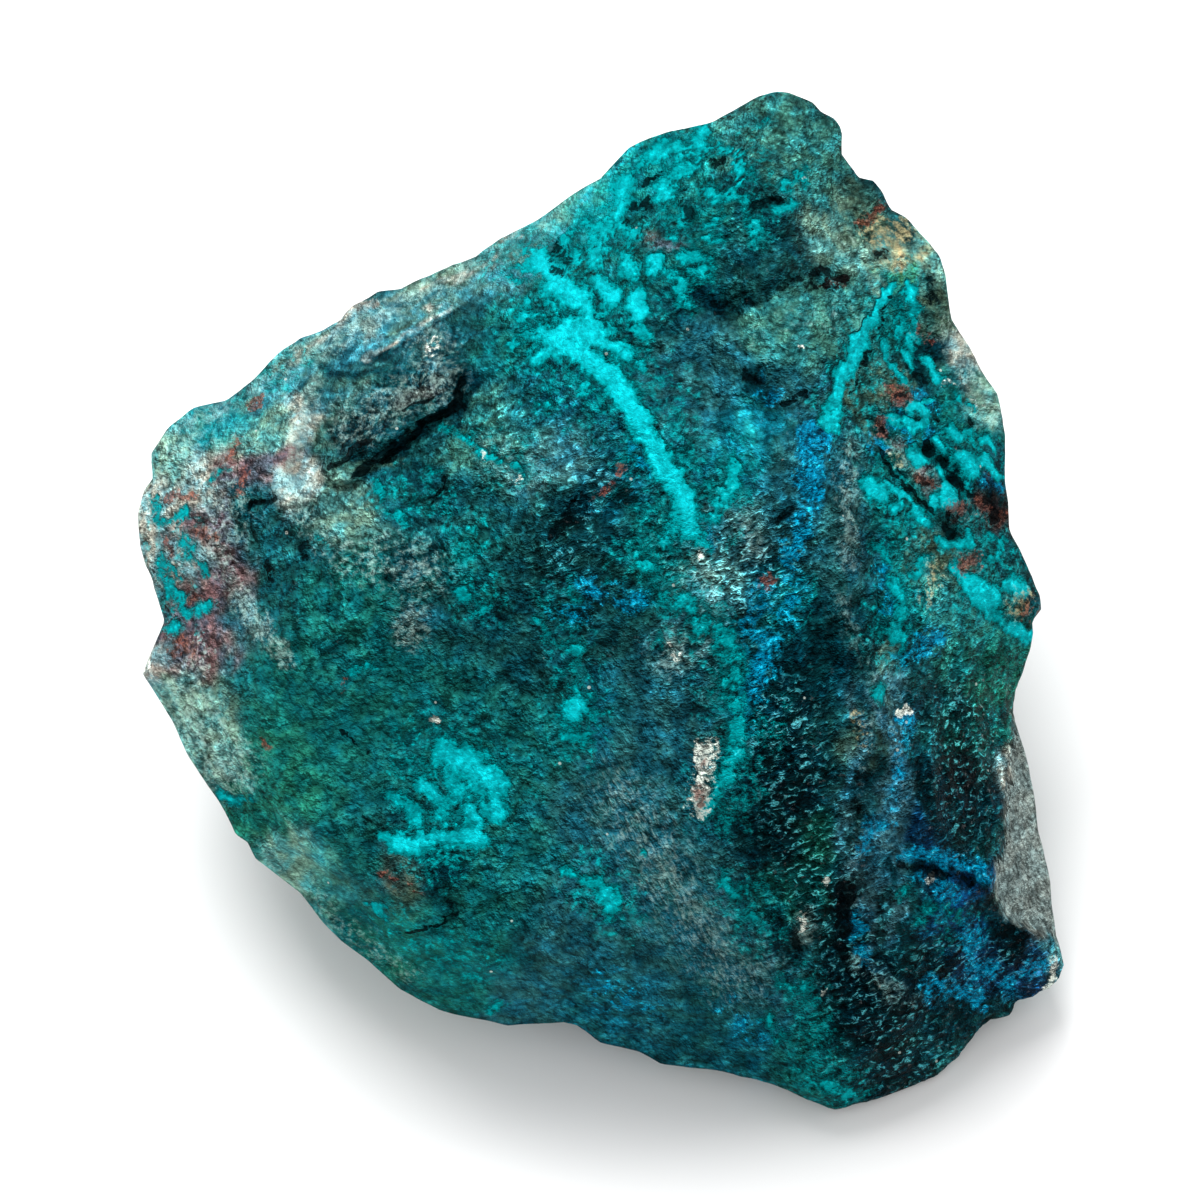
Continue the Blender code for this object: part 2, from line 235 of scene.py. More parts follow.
def along_course(u: np.ndarray, v: np.ndarray, course: np.ndarray) -> tuple[np.ndarray, np.ndarray, np.ndarray]:
    """Measure places against a course of straight steps.

    For each step the nearest point is the foot of the perpendicular, held between the step's ends; the nearest of
    all the steps counts.

    Args:
        u: places across, millimetres.
        v: places up, millimetres.
        course: corners of the course, millimetres.

    Returns:
        The distance, the side (positive to the left of the way) and the share of the way along.
    """
    if len(course) == 1:
        return np.hypot(u - course[0, 0], v - course[0, 1]), np.ones(u.shape), np.full(u.shape, 0.5)
    nearest = np.full(u.shape, 1e9)
    side = np.zeros(u.shape)
    share = np.zeros(u.shape)
    steps = np.diff(course, axis=0)
    lengths = np.hypot(steps[:, 0], steps[:, 1])
    passed = 0.0
    for start, step, length in zip(course[:-1], steps, lengths):
        way = step / length
        du = u - start[0]
        dv = v - start[1]
        reach = np.clip(du * way[0] + dv * way[1], 0.0, length)
        distance = np.hypot(du - reach * way[0], dv - reach * way[1])
        closer = distance < nearest
        nearest = np.where(closer, distance, nearest)
        side = np.where(closer, np.sign(way[0] * dv - way[1] * du), side)
        share = np.where(closer, (passed + reach) / lengths.sum(), share)
        passed += length
    return nearest, side, share


def fade_ends(share: np.ndarray, length: float) -> np.ndarray:
    """Fade a feature out at both ends of its course."""
    return smooth_step(share, 0.0, length) * smooth_step(1.0 - share, 0.0, length)


def depth_inside(u: np.ndarray, v: np.ndarray, border: np.ndarray) -> np.ndarray:
    """Distance to a closed border, positive inside it, by counting crossings of a level line.

    Args:
        u: places across, millimetres.
        v: places up, millimetres.
        border: corners of the border, millimetres.

    Returns:
        Signed distances in millimetres.
    """
    closed = np.vstack([border, border[:1]])
    distance = along_course(u, v, closed)[0]
    inside = np.zeros(u.shape, dtype=bool)
    for (u_a, v_a), (u_b, v_b) in zip(closed[:-1], closed[1:]):
        if v_a != v_b:
            spans = (v_a > v) != (v_b > v)
            inside ^= spans & (u < (u_b - u_a) * (v - v_a) / (v_b - v_a) + u_a)
    return np.where(inside, distance, -distance)


# ----- The stone's form -----


@dataclass
class FractureBlock:
    """The stone's main form: flat fracture faces, rounded where they meet, drawn in or out to its outline.

    Front faces are planes: height w at the middle and the rise per millimetre of u and of v. Rim faces come in
    pairs that meet along the rim: outward direction, distance, depth of the rim, slope in front and behind.
    """

    front_faces: dict[str, tuple[float, float, float]] = field(default_factory=lambda: {
        "main face": (17.6, 0.21, 0.34),
        "shoulder": (20.2, 0.38, -0.31),
        "crown": (19.8, -0.05, -0.50),
        "middle right": (20.9, -0.45, 0.00),
        "right": (33.2, -1.13, -0.10),
        "lower right": (28.5, -0.32, 0.79),
    })
    rim_faces: dict[str, tuple[float, float, float, float, float, float]] = field(default_factory=lambda: {
        "upper left bevel": (-0.520, 0.854, 26.2, -5.0, 36.0, 30.0),
        "crown left": (-0.336, 0.942, 29.5, -4.0, 32.0, 30.0),
        "crown tip": (0.500, 0.866, 37.4, -4.0, 30.0, 30.0),
        "upper right": (0.848, 0.530, 31.9, -5.0, 36.0, 25.0),
        "right shoulder": (0.943, 0.333, 30.0, -5.0, 36.0, 22.0),
        "right side": (0.972, 0.234, 29.9, -5.0, 34.0, 22.0),
        "right flank": (0.985, 0.080, 29.6, -6.0, 30.0, 22.0),
        "lower right corner": (0.707, -0.707, 39.4, -9.0, 34.0, 25.0),
        "lower right edge": (0.456, -0.890, 39.4, -8.0, 30.0, 25.0),
        "foot": (-0.250, -0.968, 30.8, -6.0, 28.0, 30.0),
        "foot left": (-0.447, -0.894, 30.1, -4.0, 26.0, 30.0),
        "lower left rim": (-0.712, -0.702, 29.5, -3.0, 22.0, 32.0),
        "left flank": (-0.865, -0.500, 30.5, -4.0, 26.0, 30.0),
        "left end": (-0.975, 0.220, 32.9, -5.0, 36.0, 24.0),
        "left shoulder": (-0.790, 0.610, 31.2, -5.0, 38.0, 26.0),
    })
    far_faces: dict[str, tuple[float, float, float, float]] = field(default_factory=lambda: {
        "underside": (0.00, -0.50, -0.866, 25.9),
        "back": (0.00, 0.68, -0.73, 29.6),
        "back left": (-0.72, 0.20, -0.66, 30.0),
        "back right": (0.66, 0.28, -0.70, 31.0),
    })
    outline: Marks = (
        (140, 513), (146, 489), (154, 479), (152, 453), (168, 428), (194, 408), (225, 400), (250, 381), (279, 352),
        (300, 338), (322, 330), (340, 320), (352, 307), (378, 291), (400, 288), (435, 271), (477, 257), (501, 238),
        (537, 220), (574, 194), (600, 179), (629, 148), (650, 138), (680, 129), (712, 122), (741, 105), (757, 96),
        (776, 91), (789, 92), (813, 102), (821, 112), (835, 120), (842, 131), (841, 155), (857, 179), (872, 182),
        (882, 195), (890, 211), (904, 219), (926, 243), (938, 259), (944, 278), (950, 320), (968, 349), (984, 379),
        (995, 395), (1004, 437), (1003, 483), (1009, 530), (1020, 561), (1035, 595), (1036, 609), (1027, 621),
        (1027, 637), (1016, 690), (1014, 712), (1028, 761), (1045, 844), (1055, 921), (1062, 962), (1055, 976),
        (1025, 994), (1014, 999), (1008, 1014), (991, 1017), (973, 1031), (957, 1052), (933, 1072), (902, 1086),
        (862, 1102), (832, 1109), (810, 1102), (787, 1088), (761, 1079), (720, 1066), (660, 1060), (640, 1049),
        (601, 1042), (577, 1024), (563, 1020), (508, 1025), (477, 1019), (440, 1010), (400, 990), (369, 962),
        (341, 941), (322, 922), (300, 893), (256, 858), (248, 842), (236, 834), (217, 799), (187, 754), (172, 721),
        (143, 674), (149, 659), (166, 621), (159, 598), (154, 579), (147, 565), (142, 545),
    )
    edge_sharpness: float = 44.0
    outline_steps: int = 1440
    broad_smoothing: float = 20.0
    limit_smoothing: float = 12.0
    limit_tilts: tuple[float, float, int] = (50.0, 130.0, 161)
    broad_fade: tuple[float, float] = (0.35, 0.95)
    fine_fade: tuple[float, float] = (0.86, 0.995)

    def fracture_planes(self) -> tuple[np.ndarray, np.ndarray]:
        """List every fracture face as an outward direction and a distance from the middle."""
        directions = []
        distances = []
        for height, rise_u, rise_v in self.front_faces.values():
            normal = np.array([-rise_u, -rise_v, 1.0])
            length = np.linalg.norm(normal)
            directions.append(normal / length)
            distances.append(height / length)
        for out_u, out_v, distance, depth, front_deg, behind_deg in self.rim_faces.values():
            flat = unit(np.array([out_u, out_v]))
            for slope, sign in ((math.radians(front_deg), 1.0), (math.radians(behind_deg), -1.0)):
                directions.append([flat[0] * math.cos(slope), flat[1] * math.cos(slope), sign * math.sin(slope)])
                distances.append(distance * math.cos(slope) + sign * depth * math.sin(slope))
        for out_u, out_v, out_w, distance in self.far_faces.values():
            directions.append(unit(np.array([out_u, out_v, out_w])))
            distances.append(distance)
        return np.array(directions), np.array(distances)

    def reach(self, directions: np.ndarray) -> np.ndarray:
        """Distance from the middle to the block in each direction.

        A face at distance h with normal n is met at h / (n . d). Taking the p-norm of (n . d) / h over all faces
        in place of the largest rounds the edges; p is the edge sharpness.

        Args:
            directions: unit vectors from the middle.

        Returns:
            Distances in millimetres.
        """
        normals, distances = self.fracture_planes()
        share = np.clip(directions @ normals.T, 1e-9, None) / distances
        largest = share.max(axis=-1)
        rounded = ((share / largest[..., None]) ** self.edge_sharpness).sum(axis=-1) ** (1.0 / self.edge_sharpness)
        return 1.0 / (largest * rounded)

    def outline_radius(self, angles: np.ndarray) -> np.ndarray:
        """Distance from the middle to the outline at each angle, where the ray from the middle meets a side.

        Args:
            angles: angles in radians, anticlockwise from u.

        Returns:
            Distances in millimetres.
        """
        corners = SURVEY.in_mm(self.outline)
        radius = np.zeros_like(angles)
        cosine = np.cos(angles)
        sine = np.sin(angles)
        for (u_a, v_a), (u_b, v_b) in zip(corners, np.roll(corners, -1, axis=0)):
            side_u = u_b - u_a
            side_v = v_b - v_a
            cross = cosine * side_v - sine * side_u
            cross = np.where(np.abs(cross) < 1e-9, 1e-9, cross)
            distance = (u_a * side_v - v_a * side_u) / cross
            share = (u_a * sine - v_a * cosine) / cross
            hit = (share >= 0.0) & (share <= 1.0) & (distance > 0.0)
            radius = np.where(hit, np.maximum(radius, distance), radius)
        return radius

    def fit_to_outline(self, points: np.ndarray) -> np.ndarray:
        """Draw the block in or out across the survey direction until its edge meets the outline.

        At each angle the factor is the outline's radius over the block's. Its broad part fades in from a third of
        the way out, and its fine part, the nicks of the rim, only near the rim.

        Args:
            points: places (u, v, w) on the block, millimetres.

        Returns:
            The fitted places.
        """
        angles = np.linspace(-math.pi, math.pi, self.outline_steps, endpoint=False)
        tilts = np.radians(np.linspace(*self.limit_tilts))
        turn, tilt = np.meshgrid(angles, tilts, indexing="ij")
        rays = np.stack([np.cos(turn) * np.sin(tilt), np.sin(turn) * np.sin(tilt), np.cos(tilt)], axis=-1)
        reach = self.reach(rays)
        limit = (reach * np.sin(tilt) * SURVEY.distance / (SURVEY.distance - reach * np.cos(tilt))).max(axis=1)
        outline = self.outline_radius(angles)
        broad_limit = ring_smoothed(limit, self.limit_smoothing)
        broad_outline = ring_smoothed(outline, self.broad_smoothing)
        around = np.arctan2(points[:, 1], points[:, 0])
        period = 2.0 * math.pi
        limit_here = np.interp(around, angles, limit, period=period)
        broad = np.interp(around, angles, broad_outline / broad_limit, period=period)
        fine = np.interp(around, angles, outline / broad_outline * broad_limit / limit, period=period)
        share = np.linalg.norm(SURVEY.seen(points), axis=1) / limit_here
        scale = 1.0 + (broad - 1.0) * smooth_step(share, *self.broad_fade)
        scale *= 1.0 + (fine - 1.0) * smooth_step(share, *self.fine_fade)
        fitted = points.copy()
        fitted[:, :2] *= scale[:, None]
        return fitted


def ring_smoothed(values: np.ndarray, width: float) -> np.ndarray:
    """Smooth a closed ring of values with a bell exp(-0.5 (n / width)^2), by multiplying their spectra.

    Args:
        values: the ring's values at even steps.
        width: the bell's width in steps.

    Returns:
        The smoothed ring.
    """
    offset = np.arange(-len(values) // 2, len(values) // 2)
    bell = np.exp(-0.5 * (offset / width) ** 2)
    return np.real(np.fft.ifft(np.fft.fft(values) * np.fft.fft(np.fft.ifftshift(bell / bell.sum()))))


@dataclass
class Relief:
    """What stands above and below the fracture faces on the front: ribs, ledges, furrows, lumps, pits, the scar.

    Sizes are in millimetres and come first, then u and v of each corner of the course in marks. A ridge has its rise
    and half width, a ledge its rise, the width of its step and its reach behind, and a furrow its depth and half
    width. A lump or pit has its place in marks, its radius and its rise.
    """

    ridges: tuple[Stroke, ...] = (
        (1.1, 1.6, 836, 470, 845, 560, 841, 600, 851, 640, 864, 665, 876, 690, 866, 740, 857, 800, 851, 870, 862,
         950),
        (0.8, 1.2, 1004, 700, 1003, 760, 1000, 820, 990, 865, 987, 890),
        (0.9, 1.6, 700, 760, 715, 830, 723, 890, 745, 930, 768, 955, 792, 995, 803, 1040),
        (0.8, 1.1, 318, 372, 306, 409, 298, 432, 282, 479, 262, 520),
        (0.9, 1.3, 205, 520, 222, 560, 242, 602, 262, 632, 290, 660),
        (0.5, 1.4, 560, 262, 577, 320, 612, 365, 645, 400, 668, 450, 682, 500, 697, 540),
        (0.3, 1.2, 900, 268, 878, 305, 860, 336, 840, 380, 828, 425),
        (0.9, 1.3, 728, 290, 760, 282, 800, 266, 850, 268), (0.6, 0.45, 899, 458, 915, 472, 934, 486),
    )
    ledges: tuple[Stroke, ...] = (
        (1.5, 0.5, 3.6, 300, 470, 350, 486, 381, 464, 405, 442, 432, 431, 455, 396, 470, 352),
        (-1.3, 0.8, 3.0, 425, 990, 407, 972, 373, 924, 355, 893, 331, 872, 303, 844, 272, 813, 248, 799, 199, 777),
        (0.5, 0.4, 1.6, 334, 470, 352, 458, 370, 451, 398, 430),
    )
    furrows: tuple[Stroke, ...] = (
        (1.1, 0.4, 450, 400, 431, 430, 404, 441, 379, 461, 350, 482), (0.8, 0.4, 372, 449, 352, 458, 334, 468),
        (0.8, 0.4, 274, 498, 262, 506, 249, 512), (0.5, 0.4, 444, 482, 436, 495, 428, 506),
        (0.8, 0.8, 580, 497, 568, 517, 553, 541), (0.8, 0.9, 695, 300, 735, 305, 775, 300, 795, 292),
        (0.6, 0.7, 799, 282, 822, 279, 852, 276), (1.0, 0.7, 745, 373, 762, 381),
        (0.7, 0.45, 806, 393, 792, 400, 780, 406),
        (0.9, 1.2, 862, 400, 868, 470, 873, 540, 878, 600, 889, 650, 893, 700, 880, 760),
        (0.9, 0.4, 874, 445, 886, 464, 899, 481, 916, 499), (0.8, 0.45, 430, 928, 445, 922, 458, 916),
        (0.5, 0.35, 780, 524, 795, 507), (0.25, 0.3, 341, 726, 354, 741, 366, 754),
        (1.1, 0.6, 847, 892, 844, 908, 842, 925), (0.8, 0.5, 903, 868, 935, 870, 975, 880, 987, 892),
        (0.7, 0.5, 791, 932, 797, 947, 808, 954), (0.6, 0.6, 855, 780, 853, 812, 858, 835),
        (0.6, 0.35, 706, 161, 724, 161, 734, 164), (0.6, 0.4, 748, 210, 766, 204, 782, 198),
        (0.8, 0.6, 990, 508, 1000, 520),
    )
    lumps: tuple[tuple[float, float, float, float], ...] = (
        (902, 259, 1.2, 1.0), (914, 407, 0.9, 0.7), (921, 424, 0.8, 0.6), (971, 464, 0.9, 0.9), (952, 491, 0.9, 0.8),
        (921, 462, 0.7, 0.5), (958, 427, 0.7, 0.5), (943, 434, 0.5, 0.4), (990, 455, 0.5, 0.4), (968, 482, 0.5, 0.4),
        (872, 490, 1.0, 0.6), (866, 468, 0.7, 0.4), (1021, 607, 1.2, 0.9), (985, 586, 1.4, 0.5), (905, 436, 0.5, 0.4),
        (935, 505, 1.1, 0.7), (806, 928, 1.5, 1.1), (385, 400, 3.2, 0.5),
        (250, 450, 2.2, 0.6), (200, 560, 2.0, 0.6), (155, 655, 1.6, 0.7), (470, 560, 5.0, 0.7), (330, 640, 4.5, 0.6),
        (600, 900, 5.0, 0.6), (790, 210, 3.6, 0.9), (720, 170, 2.6, 0.6), (650, 240, 3.5, 0.6), (800, 340, 2.8, 0.7),
        (745, 450, 3.0, 0.4), (930, 620, 3.4, 0.5), (920, 780, 3.0, 0.8), (945, 940, 3.0, 0.8), (1030, 955, 1.6, 1.2),
        (880, 1040, 3.0, 0.7), (800, 760, 3.2, 0.6), (780, 860, 2.8, 0.5), (905, 985, 2.4, 0.6), (840, 1075, 2.0, 0.5),
        (420, 870, 2.2, 0.6), (470, 960, 2.4, 0.5), (560, 980, 2.6, 0.4), (585, 705, 1.2, 0.3), (462, 790, 3.0, 0.3),
        (705, 775, 1.3, 0.4),
        (927, 449, 0.6, -1.4), (941, 462, 0.6, -1.4), (952, 475, 0.5, -1.3), (979, 473, 0.35, -0.6),
        (945, 524, 0.9, -1.0), (988, 927, 0.9, -0.8), (859, 807, 0.7, -0.6), (449, 907, 0.8, -0.8),
        (700, 300, 1.2, -0.5), (890, 860, 1.8, -0.8), (975, 830, 2.0, -0.7), (955, 700, 2.4, -0.5),
        (760, 640, 2.4, -0.5), (640, 520, 2.4, -0.4), (240, 700, 2.6, -0.5), (900, 330, 1.8, -0.6),
        (915, 370, 1.4, -0.6), (845, 210, 2.0, -0.6), (965, 540, 1.3, -0.6), (345, 565, 2.6, -0.4),
        (557, 248, 0.8, -0.4), (663, 172, 0.5, -0.4),
    )
    scar: Marks = (
        (1030, 690), (1012, 716), (1009, 761), (1007, 795), (1004, 832), (996, 862), (993, 881), (997, 902),
        (1003, 919), (1020, 927), (1041, 938), (1060, 948), (1090, 955), (1090, 690),
    )
    scar_depth: float = 3.8
    scar_wall: tuple[float, float] = (-0.1, 0.7)
    wander: float = 0.35
    wander_size: float = 2.2
    jitter: float = 0.2
    jitter_size: float = 0.9
    break_size: float = 1.4
    ridge_fade: float = 0.12
    ledge_fade: float = 0.15
    furrow_fade: float = 0.2

    def wandered(self, points: np.ndarray, seed: int) -> tuple[np.ndarray, np.ndarray]:
        """Survey places of points, pushed about by noise so that no line on the stone is straight.

        Args:
            points: places (u, v, w), millimetres.
            seed: noise seed of the stone.

        Returns:
            The pushed u and v.
        """
        seen = SURVEY.seen(points)
        u = seen[:, 0] + self.wander * noise(points / self.wander_size, seed + 8)
        v = seen[:, 1] + self.wander * noise(points / self.wander_size, seed + 18)
        u += self.jitter * noise(points / self.jitter_size, seed + 28)
        v += self.jitter * noise(points / self.jitter_size, seed + 38)
        return u, v

    def height(self, points: np.ndarray, seed: int) -> np.ndarray:
        """Height of the relief above the fracture faces.

        A ridge falls off as (1 + (d/w)^2)^-1.5. A furrow and a lump are bells exp(-(d/w)^2), the furrow's depth
        broken by noise. A ledge is a smooth step across its course, and the scar drops by its depth inside its border.

        Args:
            points: places (u, v, w) on the fitted block, millimetres.
            seed: noise seed of the stone.

        Returns:
            Heights along the survey direction, millimetres.
        """
        u, v = self.wandered(points, seed)
        height = np.zeros(len(points))
        for rise, half_width, *course in self.ridges:
            distance, _, share = along_course(u, v, SURVEY.in_mm(course))
            height += rise / (1.0 + (distance / half_width) ** 2) ** 1.5 * fade_ends(share, self.ridge_fade)
        for rise, width, reach, *course in self.ledges:
            distance, side, share = along_course(u, v, SURVEY.in_mm(course))
            across = distance * side
            step = smooth_step(across, -0.5 * width, 0.5 * width) * smooth_step(-across, -reach, -0.3 * reach)
            height += rise * step * fade_ends(share, self.ledge_fade)
        for depth, half_width, *course in self.furrows:
            distance, _, share = along_course(u, v, SURVEY.in_mm(course))
            broken = np.clip(0.7 + 0.9 * noise(points / self.break_size, seed + 48), 0.1, 1.4)
            height -= depth * broken * np.exp(-(distance / half_width) ** 2) * fade_ends(share, self.furrow_fade)
        for mark_u, mark_v, radius, rise in self.lumps:
            place = SURVEY.in_mm([mark_u, mark_v])[0]
            height += rise * np.exp(-((u - place[0]) ** 2 + (v - place[1]) ** 2) / radius ** 2)
        inside = depth_inside(u, v, SURVEY.in_mm(self.scar))
        return height - self.scar_depth * smooth_step(inside, *self.scar_wall)


# ----- Minerals -----


class Tint(Enum):
    """Colours of the rock and its minerals, in display values."""

    NIGHT = (2, 42, 50)
    DEEP_TEAL = (14, 65, 70)
    TEAL = (14, 86, 86)
    BLUE_TEAL = (12, 78, 90)
    SLATE = (28, 82, 91)
    AQUA = (18, 132, 134)
    MIST = (84, 146, 150)
    SAGE = (96, 140, 130)
    MALACHITE = (12, 82, 80)
    FERN = (50, 112, 107)
    LAGOON = (14, 112, 124)
    SAND = (150, 148, 140)
    PUMICE = (120, 134, 131)
    LEAF = (22, 98, 86)
    OLIVE = (54, 84, 74)
    STEEL = (68, 132, 141)
    UMBER = (46, 34, 34)
    MAUVE = (90, 72, 78)
    PEACH = (150, 146, 112)
    LIME = (84, 158, 108)
    ASH = (140, 154, 150)
    INK = (8, 54, 88)
    STRAND = (48, 96, 110)

    def rgb(self) -> np.ndarray:
        """The tint as three scene-linear values."""
        return np.array(linear(*self.value)[:3])


